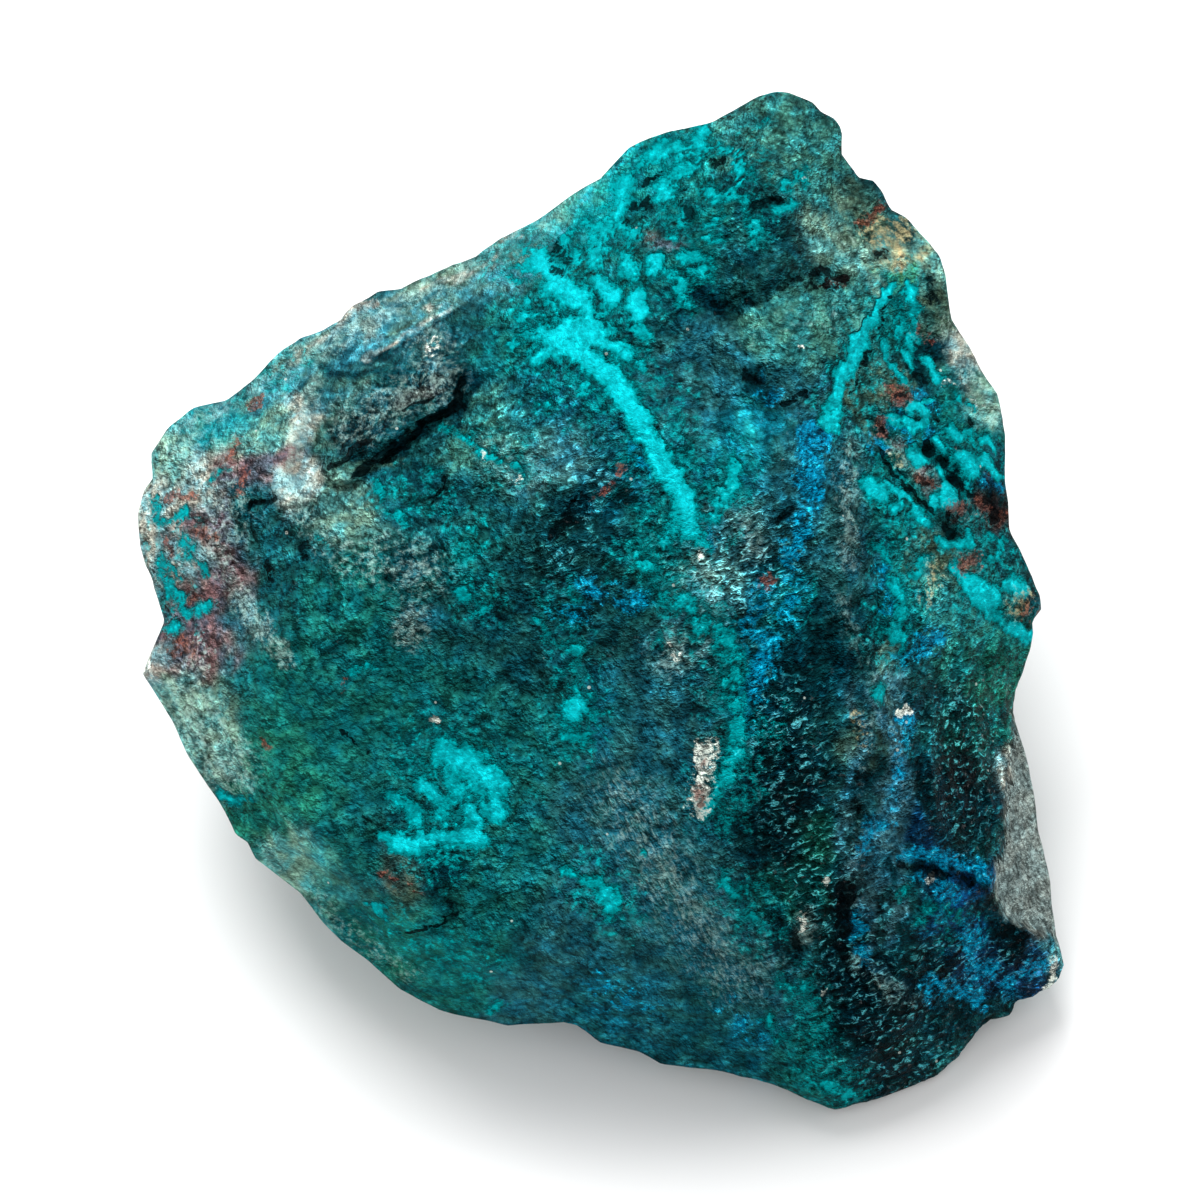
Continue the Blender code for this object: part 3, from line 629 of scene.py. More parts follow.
@dataclass
class MineralMap:
    """Where each mineral lies: broad tints of the rock, lines and spots of the minerals on it, pale dust with painted
    sheen, and strokes of painted shade in the hollows.

    Every stroke gives half its width in marks, its strength, and then u and v of each corner of its course in marks.
    A stroke with one corner is a round spot.
    """

    tints: dict[Tint, tuple[Stroke, ...]] = field(default_factory=lambda: {
        # Near-black rock. Among the thin strong strokes, those by the ledge block near (335 to 470, 340 to 405), the
        # one in the groove at (845, 900) and the one beside the knob at (806, 928) are painted shade.
        Tint.NIGHT: (
            (24, 1, 370, 430), (26, 0.7, 440, 880), (24, 0.8, 700, 300), (26, 0.7, 760, 390), (16, 1, 925, 352),
            (22, 1, 945, 470), (34, 1, 790, 680), (30, 1, 830, 640), (40, 0.8, 780, 760), (34, 1, 760, 830),
            (34, 1.3, 960, 790), (20, 0.8, 895, 770), (28, 1, 850, 930), (36, 1, 880, 980), (34, 1, 930, 1000),
            (36, 1.4, 870, 1050), (3.5, 4, 352, 362, 388, 350, 420, 338, 470, 310),
            (5, 2.5, 395, 345, 365, 352, 335, 358), (6, 2.5, 335, 376, 390, 372, 440, 380),
            (7, 2.5, 470, 372, 455, 405), (13, 3, 930, 775, 940, 815, 965, 832), (8, 3, 845, 885, 842, 930),
            (12, 3, 990, 920, 1020, 945), (7, 3, 780, 905, 782, 950), (7, 1, 560, 498, 572, 520),
        ),
        Tint.DEEP_TEAL: (
            (18, 1, 255, 505), (28, 1, 385, 385), (24, 1, 415, 420), (26, 1, 460, 340), (34, 1, 300, 545),
            (34, 1, 400, 480), (40, 1, 430, 520), (30, 1, 290, 600), (40, 1, 470, 620), (44, 1, 520, 570),
            (40, 0.7, 550, 650), (34, 1, 600, 560), (44, 0.7, 700, 1020), (34, 1, 740, 260), (30, 1, 760, 200),
            (24, 1, 780, 250), (24, 0.8, 560, 520), (26, 1, 905, 660), (30, 1, 930, 700), (30, 1, 830, 720),
            (22, 0.8, 975, 830), (28, 1, 915, 1050), (6, 1.2, 842, 560, 846, 610, 858, 650),
            # painted shade: this band darkens the ground along the furrow at the crown's foot
            (13, 1.6, 700, 262, 745, 290, 790, 262),
        ),
        Tint.TEAL: (
            (34, 1, 380, 770), (40, 0.8, 450, 690), (30, 0.6, 470, 560), (26, 0.6, 345, 850), (30, 1, 440, 930),
            (44, 0.8, 530, 760), (40, 0.8, 520, 850), (30, 0.9, 800, 1070), (34, 1, 700, 220), (30, 1, 640, 240),
            (30, 1, 520, 350), (30, 0.8, 650, 560), (26, 1, 560, 270), (22, 1, 895, 320), (22, 1, 955, 400),
            (24, 1, 895, 450), (24, 1, 900, 510), (24, 1, 820, 1060),
        ),
        Tint.BLUE_TEAL: (
            (34, 1, 610, 720), (46, 0.7, 620, 1010), (34, 1, 745, 1055), (40, 1, 560, 400), (30, 1, 600, 440),
            (26, 1, 620, 505),
        ),
        Tint.SLATE: (
            (22, 0.4, 352, 340), (24, 1, 240, 620), (26, 1, 425, 360), (18, 1, 411, 626), (26, 0.8, 520, 1000),
            (50, 1, 600, 800), (44, 0.9, 660, 720), (50, 1, 640, 900), (40, 1.2, 690, 860), (34, 0.8, 600, 850),
            (44, 1, 700, 940), (44, 0.8, 560, 940), (40, 0.6, 650, 990), (34, 0.9, 740, 980), (24, 1, 780, 1000),
            (24, 1, 795, 390), (26, 1, 720, 345), (36, 1, 690, 400), (24, 0.8, 750, 545), (34, 0.5, 690, 640),
            (28, 1, 780, 470), (26, 1, 835, 500), (22, 1, 850, 450), (24, 0.8, 850, 560), (16, 0.9, 853, 800),
            (16, 1, 870, 690), (18, 0.9, 850, 860), (8, 1.5, 310, 380, 318, 420), (10, 1.6, 330, 400, 375, 415),
            (6, 2, 872, 690, 862, 750, 846, 820, 852, 880), (6, 1.5, 900, 860, 888, 892, 880, 930),
        ),
        Tint.AQUA: (
            (26, 0.8, 232, 405), (22, 1, 590, 196), (22, 0.8, 200, 425), (20, 0.8, 300, 862), (28, 0.7, 640, 165),
            (26, 0.7, 690, 150), (30, 0.5, 965, 640), (26, 0.4, 915, 600), (6, 2, 560, 222, 600, 190, 640, 140),
        ),
        Tint.MIST: (
            (26, 1, 300, 362), (26, 2, 705, 580),
        ),
        Tint.SAGE: (
            (22, 1, 262, 420), (26, 1, 440, 290), (20, 1, 160, 460), (30, 0.3, 345, 520), (28, 0.7, 200, 700),
            (30, 0.8, 215, 750), (24, 4, 282, 864), (26, 0.5, 830, 240), (18, 0.7, 880, 265), (16, 1.6, 938, 282),
            (18, 1, 930, 250), (16, 0.8, 990, 400), (12, 2, 1010, 900), (8, 1, 480, 258, 540, 232, 590, 196),
            (6, 2, 185, 445, 200, 430), (5, 1.5, 880, 640, 884, 700),
        ),
        Tint.MALACHITE: (
            (46, 1.3, 330, 600), (44, 1, 280, 670), (44, 1, 390, 690), (34, 1, 340, 740), (28, 1, 360, 940),
            (36, 0.9, 450, 985), (34, 1, 500, 930), (30, 0.8, 970, 730), (30, 0.8, 800, 890),
            (8, 2.5, 935, 418, 985, 432),
        ),
        Tint.FERN: (
            (26, 0.9, 320, 895), (28, 1.1, 780, 125), (30, 1, 805, 165), (24, 0.8, 735, 135), (30, 1.2, 780, 330),
            (26, 0.9, 835, 315), (34, 0.9, 500, 440), (34, 0.5, 960, 630),
        ),
        Tint.LAGOON: (
            (24, 0.8, 545, 236), (26, 0.6, 530, 430), (26, 1, 760, 600), (34, 1, 740, 440),
            (10, 3, 215, 424, 232, 402, 262, 386),
        ),
        Tint.SAND: (
            (3, 5, 480, 262, 520, 240), (3, 5, 372, 348, 410, 330, 440, 318), (4, 2, 292, 352, 330, 330, 372, 306),
            (3, 2, 345, 348, 390, 322), (4, 2, 430, 300, 470, 276),
        ),
        Tint.LEAF: (
            (26, 1, 260, 740), (36, 0.6, 300, 780), (26, 1, 250, 830), (30, 0.8, 400, 950), (30, 1, 990, 670),
            (22, 0.4, 830, 850),
        ),
        Tint.OLIVE: (
            (26, 0.9, 338, 410), (20, 0.8, 404, 890), (22, 1, 860, 220), (20, 3.2, 935, 306), (18, 1, 875, 380),
            (24, 0.8, 940, 560), (16, 1, 860, 740), (2.5, 5, 398, 322, 440, 298, 468, 284),
            (3, 4, 500, 266, 540, 244, 575, 218), (3, 4, 230, 396, 262, 376, 296, 350, 330, 322),
            (2.5, 5, 420, 322, 470, 296, 530, 270), (2.5, 5, 300, 372, 340, 348), (4, 3, 392, 302, 425, 288),
            (4, 2, 470, 268, 490, 262), (5, 2, 350, 470, 400, 452), (9, 0.8, 864, 400, 868, 440),
        ),
        Tint.STEEL: (
            (26, 0.8, 350, 342), (24, 0.8, 405, 318), (26, 1, 495, 272), (34, 0.7, 550, 460), (28, 0.35, 745, 540),
            (6, 5, 325, 354, 360, 340, 392, 318), (3, 5, 520, 252, 566, 228), (3, 5, 240, 408, 285, 380, 322, 348),
            (9, 3, 408, 334, 440, 312, 480, 288, 548, 258), (6, 3, 268, 384, 300, 362),
            (4, 3, 1046, 942, 1058, 958, 1046, 985),
        ),
        Tint.UMBER: (
            (14, 0.5, 394, 886), (20, 1, 985, 510), (9, 1.6, 400, 402, 432, 388), (11, 3, 970, 508, 1000, 512),
        ),
        Tint.MAUVE: (
            (22, 1.3, 240, 470), (22, 2.2, 205, 530), (24, 2, 215, 590), (26, 2.2, 210, 640), (18, 1, 180, 660),
            (14, 0.5, 152, 662), (14, 0.8, 284, 455), (8, 3, 652, 238, 666, 242), (4.5, 3, 896, 446, 932, 486),
        ),
        Tint.PEACH: (
            (6, 60, 893, 262, 908, 255),
        ),
        Tint.LIME: (
            (6, 60, 886, 280, 908, 274),
        ),
        Tint.ASH: (
            (22, 1, 160, 520), (26, 0.9, 200, 480), (24, 0.8, 180, 560), (18, 1.5, 152, 655), (16, 0.8, 300, 420),
            (18, 0.5, 290, 485), (18, 0.8, 965, 355), (24, 2.5, 1035, 840), (20, 2.5, 1040, 900),
            (16, 2.5, 1022, 770),
        ),
        Tint.INK: (
            (26, 0.6, 920, 830), (26, 1, 960, 900), (24, 1.2, 990, 960), (20, 1.2, 1030, 965),
        ),
        Tint.STRAND: (
            (9, 2.5, 884, 676, 893, 735, 905, 770, 890, 820, 868, 852, 856, 884),
            (4, 4, 866, 690, 854, 770, 848, 850, 866, 930, 880, 980), (4, 3, 880, 830, 895, 870, 890, 920),
            (4, 3, 905, 720, 915, 700),
        ),
    })
    turquoise: tuple[Stroke, ...] = (
        # main patch and vein
        (13, 1.35, 536, 260, 550, 270, 560, 284), (11, 1.4, 558, 284, 568, 294, 580, 300),
        (6, 0.95, 546, 296, 552, 304), (5, 0.85, 518, 278, 524, 282), (5, 0.9, 523, 300, 527, 304),
        (9, 1.1, 584, 304, 588, 314), (16, 1.5, 566, 336, 582, 334, 592, 330), (12, 1.4, 560, 346, 584, 356),
        (9, 1.1, 552, 336, 540, 330), (6, 0.95, 520, 318, 530, 314, 542, 318), (6, 1, 528, 332, 534, 336),
        (5, 0.95, 516, 344, 510, 342), (7, 1.1, 546, 348, 536, 360), (5, 0.8, 546, 370, 552, 366),
        (9, 1.1, 604, 342, 620, 348, 632, 356), (6, 0.9, 638, 358, 646, 368), (5, 0.8, 590, 384, 584, 392),
        (10, 1.7, 588, 362, 610, 378, 626, 396, 640, 422), (9, 1.6, 640, 422, 652, 446, 662, 464, 672, 484),
        (9, 1.4, 678, 490, 686, 504), (13, 1.15, 684, 508, 690, 530), (6, 0.9, 668, 530, 664, 544),
        (6, 0.8, 702, 536, 708, 546), (6, 0.85, 574, 232, 566, 244), (8, 0.95, 590, 226, 600, 244),
        (8, 0.9, 604, 250, 594, 262), (7, 0.95, 562, 252, 576, 258), (6, 0.85, 612, 232, 626, 226),
        # crown
        (11, 0.98, 654, 158, 668, 150, 682, 152), (7, 0.9, 640, 164, 650, 166), (10, 1.02, 701, 130, 703, 148),
        (6, 1.1, 722, 150, 742, 154), (11, 1.02, 668, 182, 665, 200), (7, 0.9, 680, 168, 694, 164),
        (10, 1.05, 624, 182, 622, 200, 616, 218), (8, 1, 606, 226, 598, 250), (7, 0.9, 620, 230, 632, 236),
        (8, 1.05, 627, 258, 632, 274), (7, 1.6, 654, 262, 654, 270), (9, 1.6, 602, 288, 612, 298),
        (8.5, 1.6, 636, 298, 638, 312), (7, 0.95, 636, 326, 642, 334), (7, 1, 684, 212, 686, 220),
        (8, 0.95, 710, 192, 718, 200), (5, 1.1, 736, 166, 740, 180), (5, 0.85, 752, 172, 758, 174),
        (4, 0.9, 731, 190, 733, 198), (6, 0.75, 742, 196, 746, 206), (7, 1, 752, 222, 755, 234),
        (4, 0.9, 702, 226, 726, 216), (8, 0.8, 786, 184, 800, 178), (8, 0.85, 684, 254, 704, 258),
        (8, 0.9, 692, 276, 706, 266), (8, 0.9, 668, 274, 680, 288), (8, 0.9, 682, 296, 690, 304), (6, 0.75, 768, 124),
        (6, 0.75, 774, 212, 790, 204), (5, 0.7, 668, 232, 678, 240), (5, 0.8, 708, 240, 720, 236),
        # below the vein
        (9, 0.9, 732, 462, 734, 476), (8, 0.9, 726, 490, 714, 515), (5, 0.75, 700, 470, 706, 478),
        (8, 0.95, 682, 597, 694, 608, 703, 628), (6, 0.85, 571, 593, 576, 598), (5, 0.7, 608, 581),
        (8, 0.75, 652, 568, 640, 560), (8, 0.7, 570, 645, 580, 655), (12, 0.78, 722, 636, 735, 655, 738, 672),
        (12, 0.78, 720, 690, 738, 700), (10, 0.95, 739, 720, 737, 740, 732, 756),
        (8, 0.9, 725, 776, 716, 792, 708, 808), (8, 0.85, 734, 890, 722, 884), (4, 0.8, 753, 916),
        (8, 0.85, 788, 982, 804, 990), (8, 0.75, 847, 1094, 830, 1084), (8, 0.6, 770, 1020, 785, 1040),
        (9, 0.6, 658, 590, 668, 600),
        # left face
        (11, 1.5, 446, 752, 463, 757, 480, 774, 497, 783), (8, 1.4, 494, 800, 499, 814), (9, 1.3, 424, 784, 436, 796),
        (9, 1.45, 402, 842, 432, 840, 463, 832, 480, 836), (9, 0.9, 396, 800, 408, 814), (7, 1.2, 470, 806, 480, 822),
        (8, 1, 446, 770, 456, 788), (6, 0.9, 384, 838, 392, 846), (9, 0.95, 458, 800, 470, 790),
        (7, 0.9, 414, 822, 424, 830), (8, 0.82, 440, 815, 446, 822), (6, 0.8, 412, 805, 420, 822),
        (6, 0.8, 485, 755, 492, 764), (5, 0.75, 425, 762), (9, 0.8, 478, 800, 486, 812),
        (12, 1.25, 581, 706, 570, 714), (8, 0.8, 565, 735, 587, 740), (9, 0.75, 572, 688, 580, 696),
        (7, 0.75, 567, 872, 590, 880), (9, 1.25, 606, 892, 612, 908), (7, 0.75, 598, 878, 606, 884),
        (5, 0.75, 640, 851), (4, 0.85, 355, 674, 369, 664), (5, 0.85, 459, 595, 466, 600),
        (5, 0.8, 487, 602, 478, 610), (5, 0.9, 378, 486, 384, 496), (6, 0.8, 398, 508, 404, 522), (4, 0.8, 345, 553),
        (4, 0.7, 430, 470, 440, 474), (5, 0.65, 320, 540, 330, 548), (6, 0.65, 540, 620, 548, 632),
        (7, 0.7, 655, 640, 662, 650), (5, 0.75, 445, 427, 480, 451, 497, 458, 522, 475), (4, 0.9, 440, 548),
        (5, 0.7, 536, 400, 546, 404),
        # left end
        (7, 1, 178, 620, 176, 632), (7, 0.8, 163, 556, 172, 590, 182, 598), (6, 0.8, 168, 520, 190, 512),
        (6, 0.75, 186, 540, 192, 548), (6, 0.85, 207, 605, 190, 612, 178, 606), (5, 0.75, 182, 575, 176, 566),
        (5, 0.7, 155, 500, 160, 520), (5, 0.6, 210, 480, 222, 470), (6, 0.6, 196, 560, 204, 575),
        (4, 0.9, 217, 796, 232, 800, 248, 800), (5, 0.75, 385, 915, 372, 905), (6, 0.7, 492, 1007, 500, 1004),
        # right vein
        (3.8, 1.5, 890, 286, 878, 306, 866, 326, 860, 338),
        (7, 1.7, 858, 344, 850, 362, 842, 380, 835, 398, 830, 422), (5, 1, 907, 286, 914, 305, 914, 334, 910, 352),
        (3.5, 1.1, 884, 340, 890, 358, 902, 379), (6, 0.82, 900, 305, 902, 335),
        (3, 1.3, 926, 358, 934, 366, 940, 378), (4, 1, 905, 352, 912, 366),
        # crust on the right edge
        (5, 1.5, 908, 404, 924, 412), (5, 1.5, 904, 424, 914, 430, 924, 424), (6, 1.4, 914, 452, 918, 462),
        (5, 1.5, 950, 428, 958, 438), (8, 1.7, 962, 460, 970, 468), (5, 1.4, 982, 462, 996, 476), (4, 1.4, 938, 474),
        (8, 1.8, 946, 490, 950, 500), (4, 1.4, 936, 502, 932, 510), (4, 1.2, 968, 486),
        (7, 1.5, 870, 478, 874, 488, 882, 494), (4, 1.4, 888, 484, 902, 494, 916, 508), (5, 1.2, 992, 448, 984, 440),
        (4, 1.4, 897, 506, 892, 514), (4, 1.4, 940, 440, 944, 448), (5, 1.4, 912, 514, 926, 522),
        (11, 1.9, 974, 588, 988, 598), (6, 1.5, 1008, 584, 1020, 590), (7, 1.4, 1010, 626, 1022, 634),
        (6, 1.2, 952, 568, 966, 580), (5, 1.2, 1000, 545, 994, 556), (7, 0.9, 893, 578, 900, 600, 893, 640),
        (5, 0.9, 880, 690, 878, 700), (5, 1.3, 938, 540, 948, 546, 962, 540), (6, 0.8, 925, 560, 915, 572),
        (6, 1, 985, 612, 1000, 620), (6, 0.7, 962, 398, 975, 404), (4, 1, 890, 412, 896, 420),
        (3, 1.2, 926, 400, 934, 398), (4, 0.9, 968, 430, 974, 446), (3.5, 1.2, 968, 530, 970, 545),
        (6, 0.7, 880, 540, 888, 556), (5, 0.7, 905, 620, 900, 650), (4, 0.8, 985, 535, 1002, 540),
        # lower right
        (8, 0.75, 930, 907, 920, 918), (7, 0.75, 957, 916, 950, 905), (5, 0.65, 904, 893, 896, 900),
    )
    azure: tuple[Stroke, ...] = (
        (10, 1.7, 813, 434, 813, 463, 811, 486), (10, 0.72, 808, 500, 799, 530, 793, 553, 790, 572),
        (11, 0.52, 797, 590, 788, 605, 783, 626), (15, 0.85, 767, 643, 758, 668, 752, 690),
        (13, 0.75, 740, 700, 742, 720), (6, 0.75, 757, 397, 775, 395), (6, 0.6, 765, 375),
        (8, 0.38, 895, 746, 897, 773, 900, 796, 888, 815), (8, 0.6, 888, 820, 870, 829, 861, 849),
        (7, 1.15, 905, 853, 930, 856, 953, 861, 975, 868, 987, 876), (14, 0.8, 938, 888, 950, 902),
        (10, 0.8, 964, 930, 975, 945), (9, 0.9, 975, 962, 992, 975), (6, 0.9, 1021, 972, 1040, 964),
        (8, 0.95, 854, 920, 856, 930), (9, 0.7, 905, 720, 900, 735), (7, 0.7, 862, 945, 866, 960),
        (7, 0.95, 920, 396, 930, 404), (8, 0.9, 896, 416, 906, 434), (6, 0.9, 874, 440, 884, 452),
        (7, 0.85, 982, 478, 998, 486), (6, 0.8, 926, 436, 936, 432), (12, 0.6, 940, 640, 905, 650),
        (8, 0.65, 885, 571, 890, 610), (18, 0.42, 640, 1000, 600, 985), (10, 0.75, 980, 1000, 965, 990),
        (8, 0.8, 1005, 985), (10, 0.55, 585, 615, 560, 610), (9, 0.55, 650, 470, 640, 450),
        (14, 0.65, 760, 600, 745, 640), (10, 0.6, 700, 520, 712, 540), (12, 0.6, 590, 590, 640, 600),
        (12, 0.6, 920, 870, 930, 880), (10, 0.65, 960, 985, 930, 990), (12, 0.4, 730, 1010, 760, 1040),
    )
    cream: tuple[Stroke, ...] = (
        (10, 0.85, 706, 748, 704, 770, 698, 806), (3.5, 1.2, 899, 711, 907, 712), (2.2, 1.2, 822, 996, 826, 993),
        (3, 1.1, 434, 722, 438, 723), (5, 0.62, 803, 918, 800, 930), (5, 0.8, 932, 877, 936, 873), (4, 0.8, 826, 881),
        (4, 0.9, 515, 478, 521, 480), (3, 0.8, 487, 455), (5, 0.5, 431, 352, 438, 340),
        (3, 0.5, 944, 384, 963, 384, 984, 405), (4, 0.6, 150, 660, 148, 676), (3, 0.6, 803, 178),
        (2.5, 0.85, 1054, 960, 1052, 974, 1040, 986), (4, 0.65, 697, 551, 705, 556), (6, 0.55, 672, 650, 680, 655),
        (2.5, 0.8, 780, 460), (2, 1, 288, 532), (2, 0.9, 803, 348),
    )
    ochre: tuple[Stroke, ...] = (
        (7, 0.8, 906, 236, 900, 224), (12, 0.65, 872, 224, 888, 245), (9, 0.65, 1021, 600, 1016, 610),
        (7, 0.45, 855, 715, 861, 745), (10, 0.45, 935, 570, 930, 600), (5, 0.5, 890, 452, 900, 462),
    )
    rust: tuple[Stroke, ...] = (
        (4, 1, 860, 222, 872, 214, 885, 208), (8, 0.95, 892, 390, 900, 398), (7, 0.95, 884, 423, 884, 432),
        (7, 0.9, 962, 511, 955, 508), (8, 0.95, 973, 562, 960, 566), (6, 0.75, 1026, 606, 1022, 614),
        (5, 0.95, 702, 803, 699, 790), (3, 0.8, 700, 770, 708, 762), (6, 0.85, 167, 540, 170, 548),
        (4, 0.9, 165, 500, 180, 497, 195, 495), (5, 0.8, 199, 595, 192, 600), (6, 0.8, 182, 641),
        (5, 0.75, 240, 440, 232, 455), (6, 0.7, 245, 470, 238, 490), (5, 0.8, 826, 284, 850, 280),
        (7, 0.8, 774, 584, 768, 580), (5, 0.7, 600, 492, 612, 478, 622, 466), (4, 0.8, 914, 474, 933, 489),
        (3, 0.8, 345, 688, 350, 680), (10, 0.8, 985, 500, 996, 518), (5, 0.5, 380, 872, 400, 880, 425, 893),
        (3, 0.6, 265, 740, 270, 745), (3, 0.8, 960, 449), (3, 0.6, 753, 641), (6, 0.6, 918, 330, 930, 340),
        (4, 0.75, 262, 398, 250, 408), (7, 0.6, 200, 530, 214, 540), (6, 0.6, 170, 655, 190, 650),
    )
    # Painted shade: near-black laid along cracks and furrows, in pits and under ledges.
    shaded_hollows: tuple[Stroke, ...] = (
        (3.2, 1.6, 928, 442, 930, 452), (4, 1.5, 939, 461, 945, 466), (3.6, 1.5, 952, 477, 959, 483),
        (3, 1.2, 971, 491, 978, 494), (2.5, 1.2, 936, 420), (2.5, 1.2, 950, 516, 942, 529),
        (3.6, 1.3, 462, 382, 455, 402, 443, 413), (2.6, 1.4, 443, 413, 422, 431, 402, 443, 382, 456, 351, 482),
        (3.5, 1, 405, 443, 385, 462), (2.4, 1.3, 369, 439, 354, 454, 331, 468),
        (2.4, 1.2, 432, 398, 415, 405, 404, 412), (3, 0.9, 274, 498, 262, 506, 249, 512),
        (1.6, 1.4, 443, 479, 437, 492, 428, 504), (1.2, 0.95, 889, 298, 877, 326, 868, 350, 859, 376, 853, 392),
        (6, 0.75, 580, 497, 568, 517, 553, 541), (6, 0.7, 800, 280, 815, 284, 832, 282, 852, 278),
        (6, 0.6, 812, 272, 826, 270), (6, 0.85, 745, 373, 762, 381), (3.5, 0.85, 806, 393, 782, 404),
        (6, 0.8, 714, 304, 718, 312), (4, 0.55, 718, 309, 740, 306, 765, 299, 792, 279),
        (5, 1.7, 847, 888, 844, 908, 841, 928), (6, 0.9, 838, 948, 846, 956),
        (1.8, 1.2, 876, 446, 886, 464, 899, 478, 916, 494, 932, 512), (2, 0.95, 402, 934, 430, 926, 458, 914),
        (6, 0.5, 449, 907, 440, 902), (3, 0.95, 780, 524, 795, 507), (5, 0.85, 903, 868, 935, 870, 972, 882),
        (7, 0.8, 986, 892, 994, 905), (8, 0.85, 1005, 932, 1020, 940), (8, 0.75, 855, 780, 853, 812),
        (5, 0.9, 792, 932, 797, 948), (5, 0.95, 708, 161, 722, 162), (4, 0.8, 752, 206, 778, 200),
        (6, 0.8, 557, 248, 566, 256), (5, 0.8, 663, 174, 650, 174), (4, 0.75, 634, 206, 628, 222),
        (4, 0.75, 645, 178, 647, 212), (5, 0.7, 682, 196, 692, 226), (4, 0.7, 604, 322, 596, 318),
        (7, 0.75, 728, 522, 720, 530), (8, 0.6, 633, 492, 625, 500), (9, 0.7, 571, 515, 578, 504),
        (9, 0.85, 990, 496, 998, 516), (7, 0.8, 943, 524, 952, 530), (6, 0.75, 932, 288, 930, 300),
        (9, 0.6, 960, 755, 965, 790), (4, 0.6, 560, 275, 552, 262), (1.6, 0.85, 341, 726, 354, 741, 366, 754),
        (4, 0.8, 897, 394), (3, 0.9, 884, 428), (5, 0.7, 886, 250, 878, 258), (5, 0.7, 740, 150, 748, 146),
        (5, 0.6, 700, 106, 735, 118), (5, 0.75, 919, 372, 924, 384), (4, 0.7, 960, 420, 966, 424),
        (4, 0.6, 300, 540, 305, 560), (5, 0.6, 266, 560, 270, 580),
    )
    gloss: tuple[Stroke, ...] = (
        (70, 1, 780, 720, 800, 830, 860, 960, 900, 1040), (60, 1, 960, 700, 960, 800, 940, 940),
        (60, 0.9, 700, 540, 760, 600), (40, 0.8, 620, 490, 570, 520), (44, 0.7, 740, 300, 760, 240),
        (24, 0.9, 1000, 955, 1025, 965), (50, 0.5, 330, 620, 400, 560), (50, 0.6, 560, 600, 640, 650),
        (30, 0.8, 760, 400, 780, 420),
    )
    wavelets: tuple[Stroke, ...] = (
        (26, 0.55, 200, 420, 350, 335, 520, 255), (66, 1, 780, 720, 800, 830, 870, 1000, 900, 1050),
        (50, 1, 960, 720, 960, 810), (60, 1, 690, 560, 760, 560, 720, 640), (50, 0.8, 600, 470, 560, 560),
        (60, 0.6, 560, 400, 500, 450), (40, 1, 940, 960, 1020, 960), (60, 0.5, 740, 240, 760, 160),
        (40, 0.6, 930, 640, 960, 660),
    )
    calm: tuple[Stroke, ...] = (
        (40, 0.95, 200, 430, 350, 340, 520, 250, 600, 190), (22, 1, 310, 400, 290, 480), (20, 1, 152, 640, 152, 680),
        (56, 0.85, 260, 650, 330, 760, 400, 720), (50, 0.85, 290, 860, 400, 950, 500, 980),
        (50, 0.6, 600, 760, 640, 880, 720, 1000), (30, 0.8, 960, 340, 990, 420), (22, 0.25, 840, 220, 800, 330),
        (34, 0.45, 170, 480, 200, 640), (20, 0.8, 902, 258, 904, 262), (40, 0.4, 420, 480, 380, 560),
        (26, 0.6, 950, 400, 980, 430),
    )
    streaks: tuple[Stroke, ...] = (
        (90, 1, 620, 780, 660, 900, 740, 1010), (60, 1, 560, 950, 680, 1030), (60, 0.8, 560, 720, 600, 780),
        (22, 0.9, 855, 720, 852, 800, 860, 900), (26, 0.8, 890, 740, 880, 830, 870, 900),
        (24, 0.7, 845, 540, 850, 640), (30, 1, 1030, 760, 1045, 900),
    )
    # Pale grey dust, and painted sheen on faces that turn aside, such as the upper left bevel and the lower left rim.
    dust_and_sheen: tuple[Stroke, ...] = (
        (7, 0.62, 316, 380, 307, 409, 301, 430, 294, 460, 286, 486), (18, 0.36, 290, 490, 330, 545, 345, 560),
        (9, 0.66, 213, 534, 240, 600, 262, 630, 284, 655), (26, 0.4, 170, 450, 215, 460, 225, 520),
        (11, 0.62, 170, 432, 255, 390, 335, 335, 420, 295, 510, 250), (24, 0.4, 200, 660, 165, 690),
        (14, 0.7, 411, 620, 413, 634), (26, 0.4, 380, 560, 430, 570), (22, 0.45, 430, 345, 440, 380, 350, 425),
        (14, 0.5, 742, 525, 758, 550), (12, 0.4, 700, 560, 716, 600, 700, 650), (22, 0.5, 675, 650),
        (24, 0.2, 760, 335, 850, 315), (12, 0.45, 950, 325, 968, 372, 990, 410), (16, 0.25, 830, 240, 880, 255),
        (9, 0.28, 841, 600, 851, 625, 864, 655, 876, 679, 873, 714, 864, 737, 855, 850, 850, 900),
        (34, 0.35, 620, 800, 680, 900, 740, 970), (26, 0.6, 190, 715, 225, 770), (16, 0.5, 490, 450, 520, 475),
        (12, 0.28, 262, 850, 300, 890, 360, 940, 410, 975), (10, 0.5, 850, 440, 850, 560),
        (14, 0.3, 860, 965, 905, 1000), (13, 0.34, 620, 140, 560, 205, 500, 240), (10, 0.55, 806, 915, 800, 935),
        (9, 0.3, 890, 720, 905, 800), (7, 0.7, 892, 447, 932, 486),
    )
